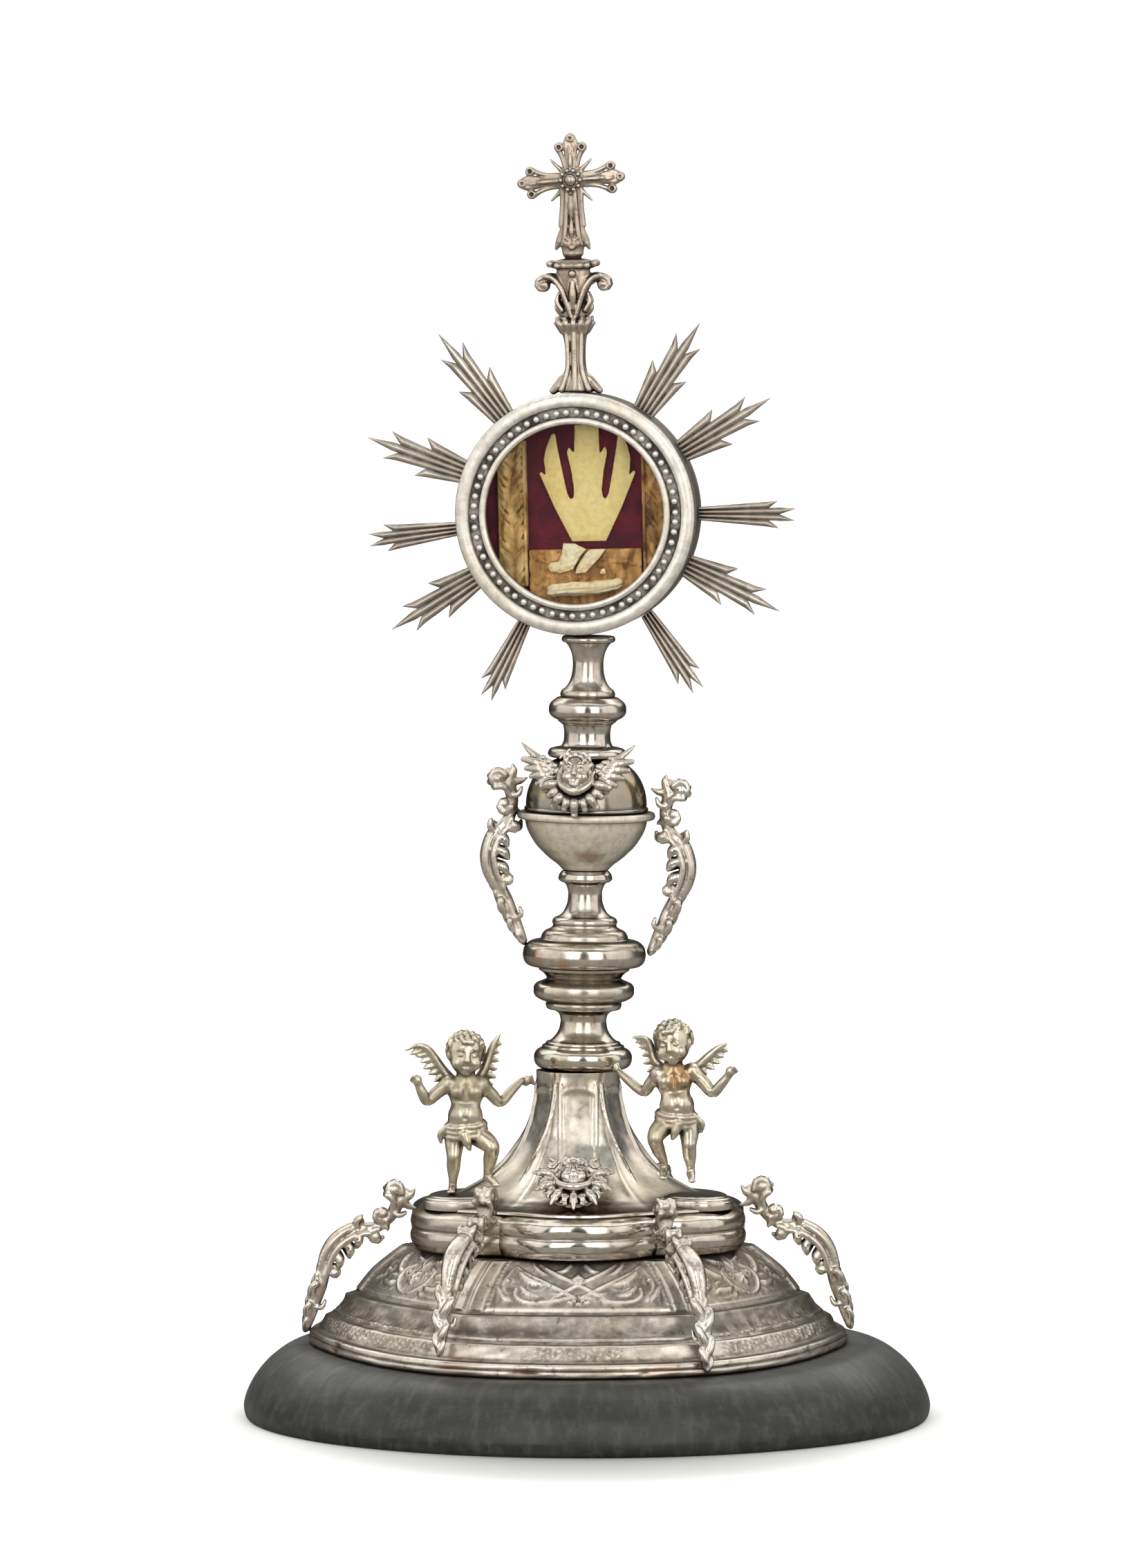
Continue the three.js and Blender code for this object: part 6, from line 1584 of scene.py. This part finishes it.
# The studio, in metres
FLOOR = 30  # from the middle to each side
floor = bpy.data.meshes.new("floor")
floor.from_pydata([(x * FLOOR, y * FLOOR, 0) for x, y in ((-1, -1), (1, -1), (1, 1), (-1, 1))], [],
    [(0, 1, 2, 3)])
table = bpy.data.objects.new("floor", floor)
bpy.context.scene.collection.objects.link(table)
s = Shade("white_floor_with_painted_shadow")
shader = s.node("ShaderNodeBsdfPrincipled")
seen = s.node("ShaderNodeLightPath").outputs["Is Camera Ray"]

shader.inputs["Roughness"].default_value = 0.9
shader.inputs["Emission Color"].default_value = (1, 1, 1, 1)
# painted shadow: the floor's glow is held back near the object, farther to the front than to the sides
oval = s.node("ShaderNodeVectorMath", operation="MULTIPLY")
s.plug(oval.inputs[0], s.place)
oval.inputs[1].default_value = (1.0, 0.6, 1.0)
away = s.node("ShaderNodeVectorMath", operation="LENGTH")
s.plug(away.inputs[0], oval.outputs[0])
glow_round_painted_shadow = s.ramp(away.outputs["Value"], (0.10, 0.0), (0.135, 0.35), (0.19, 1.0), smooth=False)
s.plug(shader.inputs["Emission Strength"], s.maths("MULTIPLY", seen, glow_round_painted_shadow))
# painted shadow: close to the object the floor's own colour is darker too; rays other than the camera's see
# a dim grey floor, a painted dark reflection under the silver
near = s.ramp(away.outputs["Value"], (0.072, (0.42, 0.42, 0.415)), (0.11, (0.8, 0.8, 0.795)), smooth=False)
s.plug(shader.inputs["Base Color"], s.mix(seen, (0.30, 0.29, 0.27), near))
s.plug(s.node("ShaderNodeOutputMaterial").inputs["Surface"], shader.outputs[0])
floor.materials.append(s.material)
HALF_HEIGHT = 0.2  # of the object


def soft_box(name, azimuth, elevation, distance, wide, tall, radiance, colour):
    """A lamp that faces the middle of the object; the azimuth is counted from the front to the right."""
    data = bpy.data.lights.new(name, "AREA")
    data.shape, data.size, data.size_y = "RECTANGLE", wide, tall
    data.energy, data.color = radiance * PI * wide * tall, colour
    lamp = bpy.data.objects.new(name, data)
    a, e = math.radians(azimuth), math.radians(elevation)
    place = Vector((math.sin(a) * math.cos(e), -math.cos(a) * math.cos(e), math.sin(e))) * distance
    lamp.location = place + Vector((0, 0, HALF_HEIGHT))
    lamp.rotation_mode = "QUATERNION"
    lamp.rotation_quaternion = (-place).to_track_quat("-Z", "Y")
    bpy.context.scene.collection.objects.link(lamp)


soft_box("left_key", -22, 20, 1.6, 0.80, 1.5, 2.3, (1.0, 0.98, 0.945))
soft_box("right_key", 22, 19, 1.6, 0.74, 1.5, 2.3, (1.0, 0.975, 0.935))
soft_box("left_wall", -74, 16, 1.7, 2.0, 1.7, 0.95, (1.0, 0.97, 0.92))
soft_box("right_wall", 70, 16, 1.7, 1.8, 1.7, 0.97, (1.0, 0.965, 0.91))
soft_box("top_box", 180, 76, 1.7, 2.6, 2.0, 1.0, (1.0, 0.985, 0.96))
soft_box("left_back", -142, 36, 1.8, 1.5, 1.0, 1.5, (1.0, 0.98, 0.94))
soft_box("right_back", 142, 36, 1.8, 1.5, 1.0, 1.35, (1.0, 0.975, 0.93))

world = bpy.data.worlds.new("studio")
bpy.context.scene.world = world
world.use_nodes = True
tree = world.node_tree
tree.nodes.clear()


def world_node(kind, *links, **values):
    made = tree.nodes.new(kind)
    for key, value in values.items():
        setattr(made, key, value)
    for index, socket in links:
        tree.links.new(socket, made.inputs[index])
    return made


# The camera sees white, while the silver reflects a dim room: darkest in front, lighter behind and above.
way = world_node("ShaderNodeTexCoord").outputs["Generated"]
axes = world_node("ShaderNodeSeparateXYZ", (0, way)).outputs


def brighter(axis, *limits):
    """Light that grows along an axis: its first and last place, and the strength at each."""
    made = world_node("ShaderNodeMapRange", (0, axes[axis]))
    for index, value in enumerate(limits):
        made.inputs[index + 1].default_value = value
    return made.outputs[0]


room = world_node("ShaderNodeMath", (0, brighter("Y", -1.0, 1.0, 0.08, 0.17)),
    (1, brighter("Z", 0.1, 0.9, 0.0, 0.35)), operation="ADD")
lit = world_node("ShaderNodeBackground", (1, room.outputs[0]))
lit.inputs[0].default_value = (0.90, 0.97, 0.94, 1)
white = world_node("ShaderNodeBackground")
white.inputs[0].default_value = (1, 1, 1, 1)
path = world_node("ShaderNodeLightPath").outputs["Is Camera Ray"]
choice = world_node("ShaderNodeMixShader", (0, path), (1, lit.outputs[0]), (2, white.outputs[0]))
world_node("ShaderNodeOutputWorld", (0, choice.outputs[0]))
bpy.context.scene.view_settings.view_transform = "Standard"

camera = bpy.data.objects.new("camera", bpy.data.cameras.new("camera"))
bpy.context.scene.collection.objects.link(camera)
LOOKS_DOWN = 3.91  # degrees
camera.location = (-0.00764, -4.0, 0.490)
camera.rotation_euler = (math.radians(90 - LOOKS_DOWN), 0, 0)
camera.data.lens = 270.17
camera.data.clip_end = 100
bpy.context.scene.camera = camera
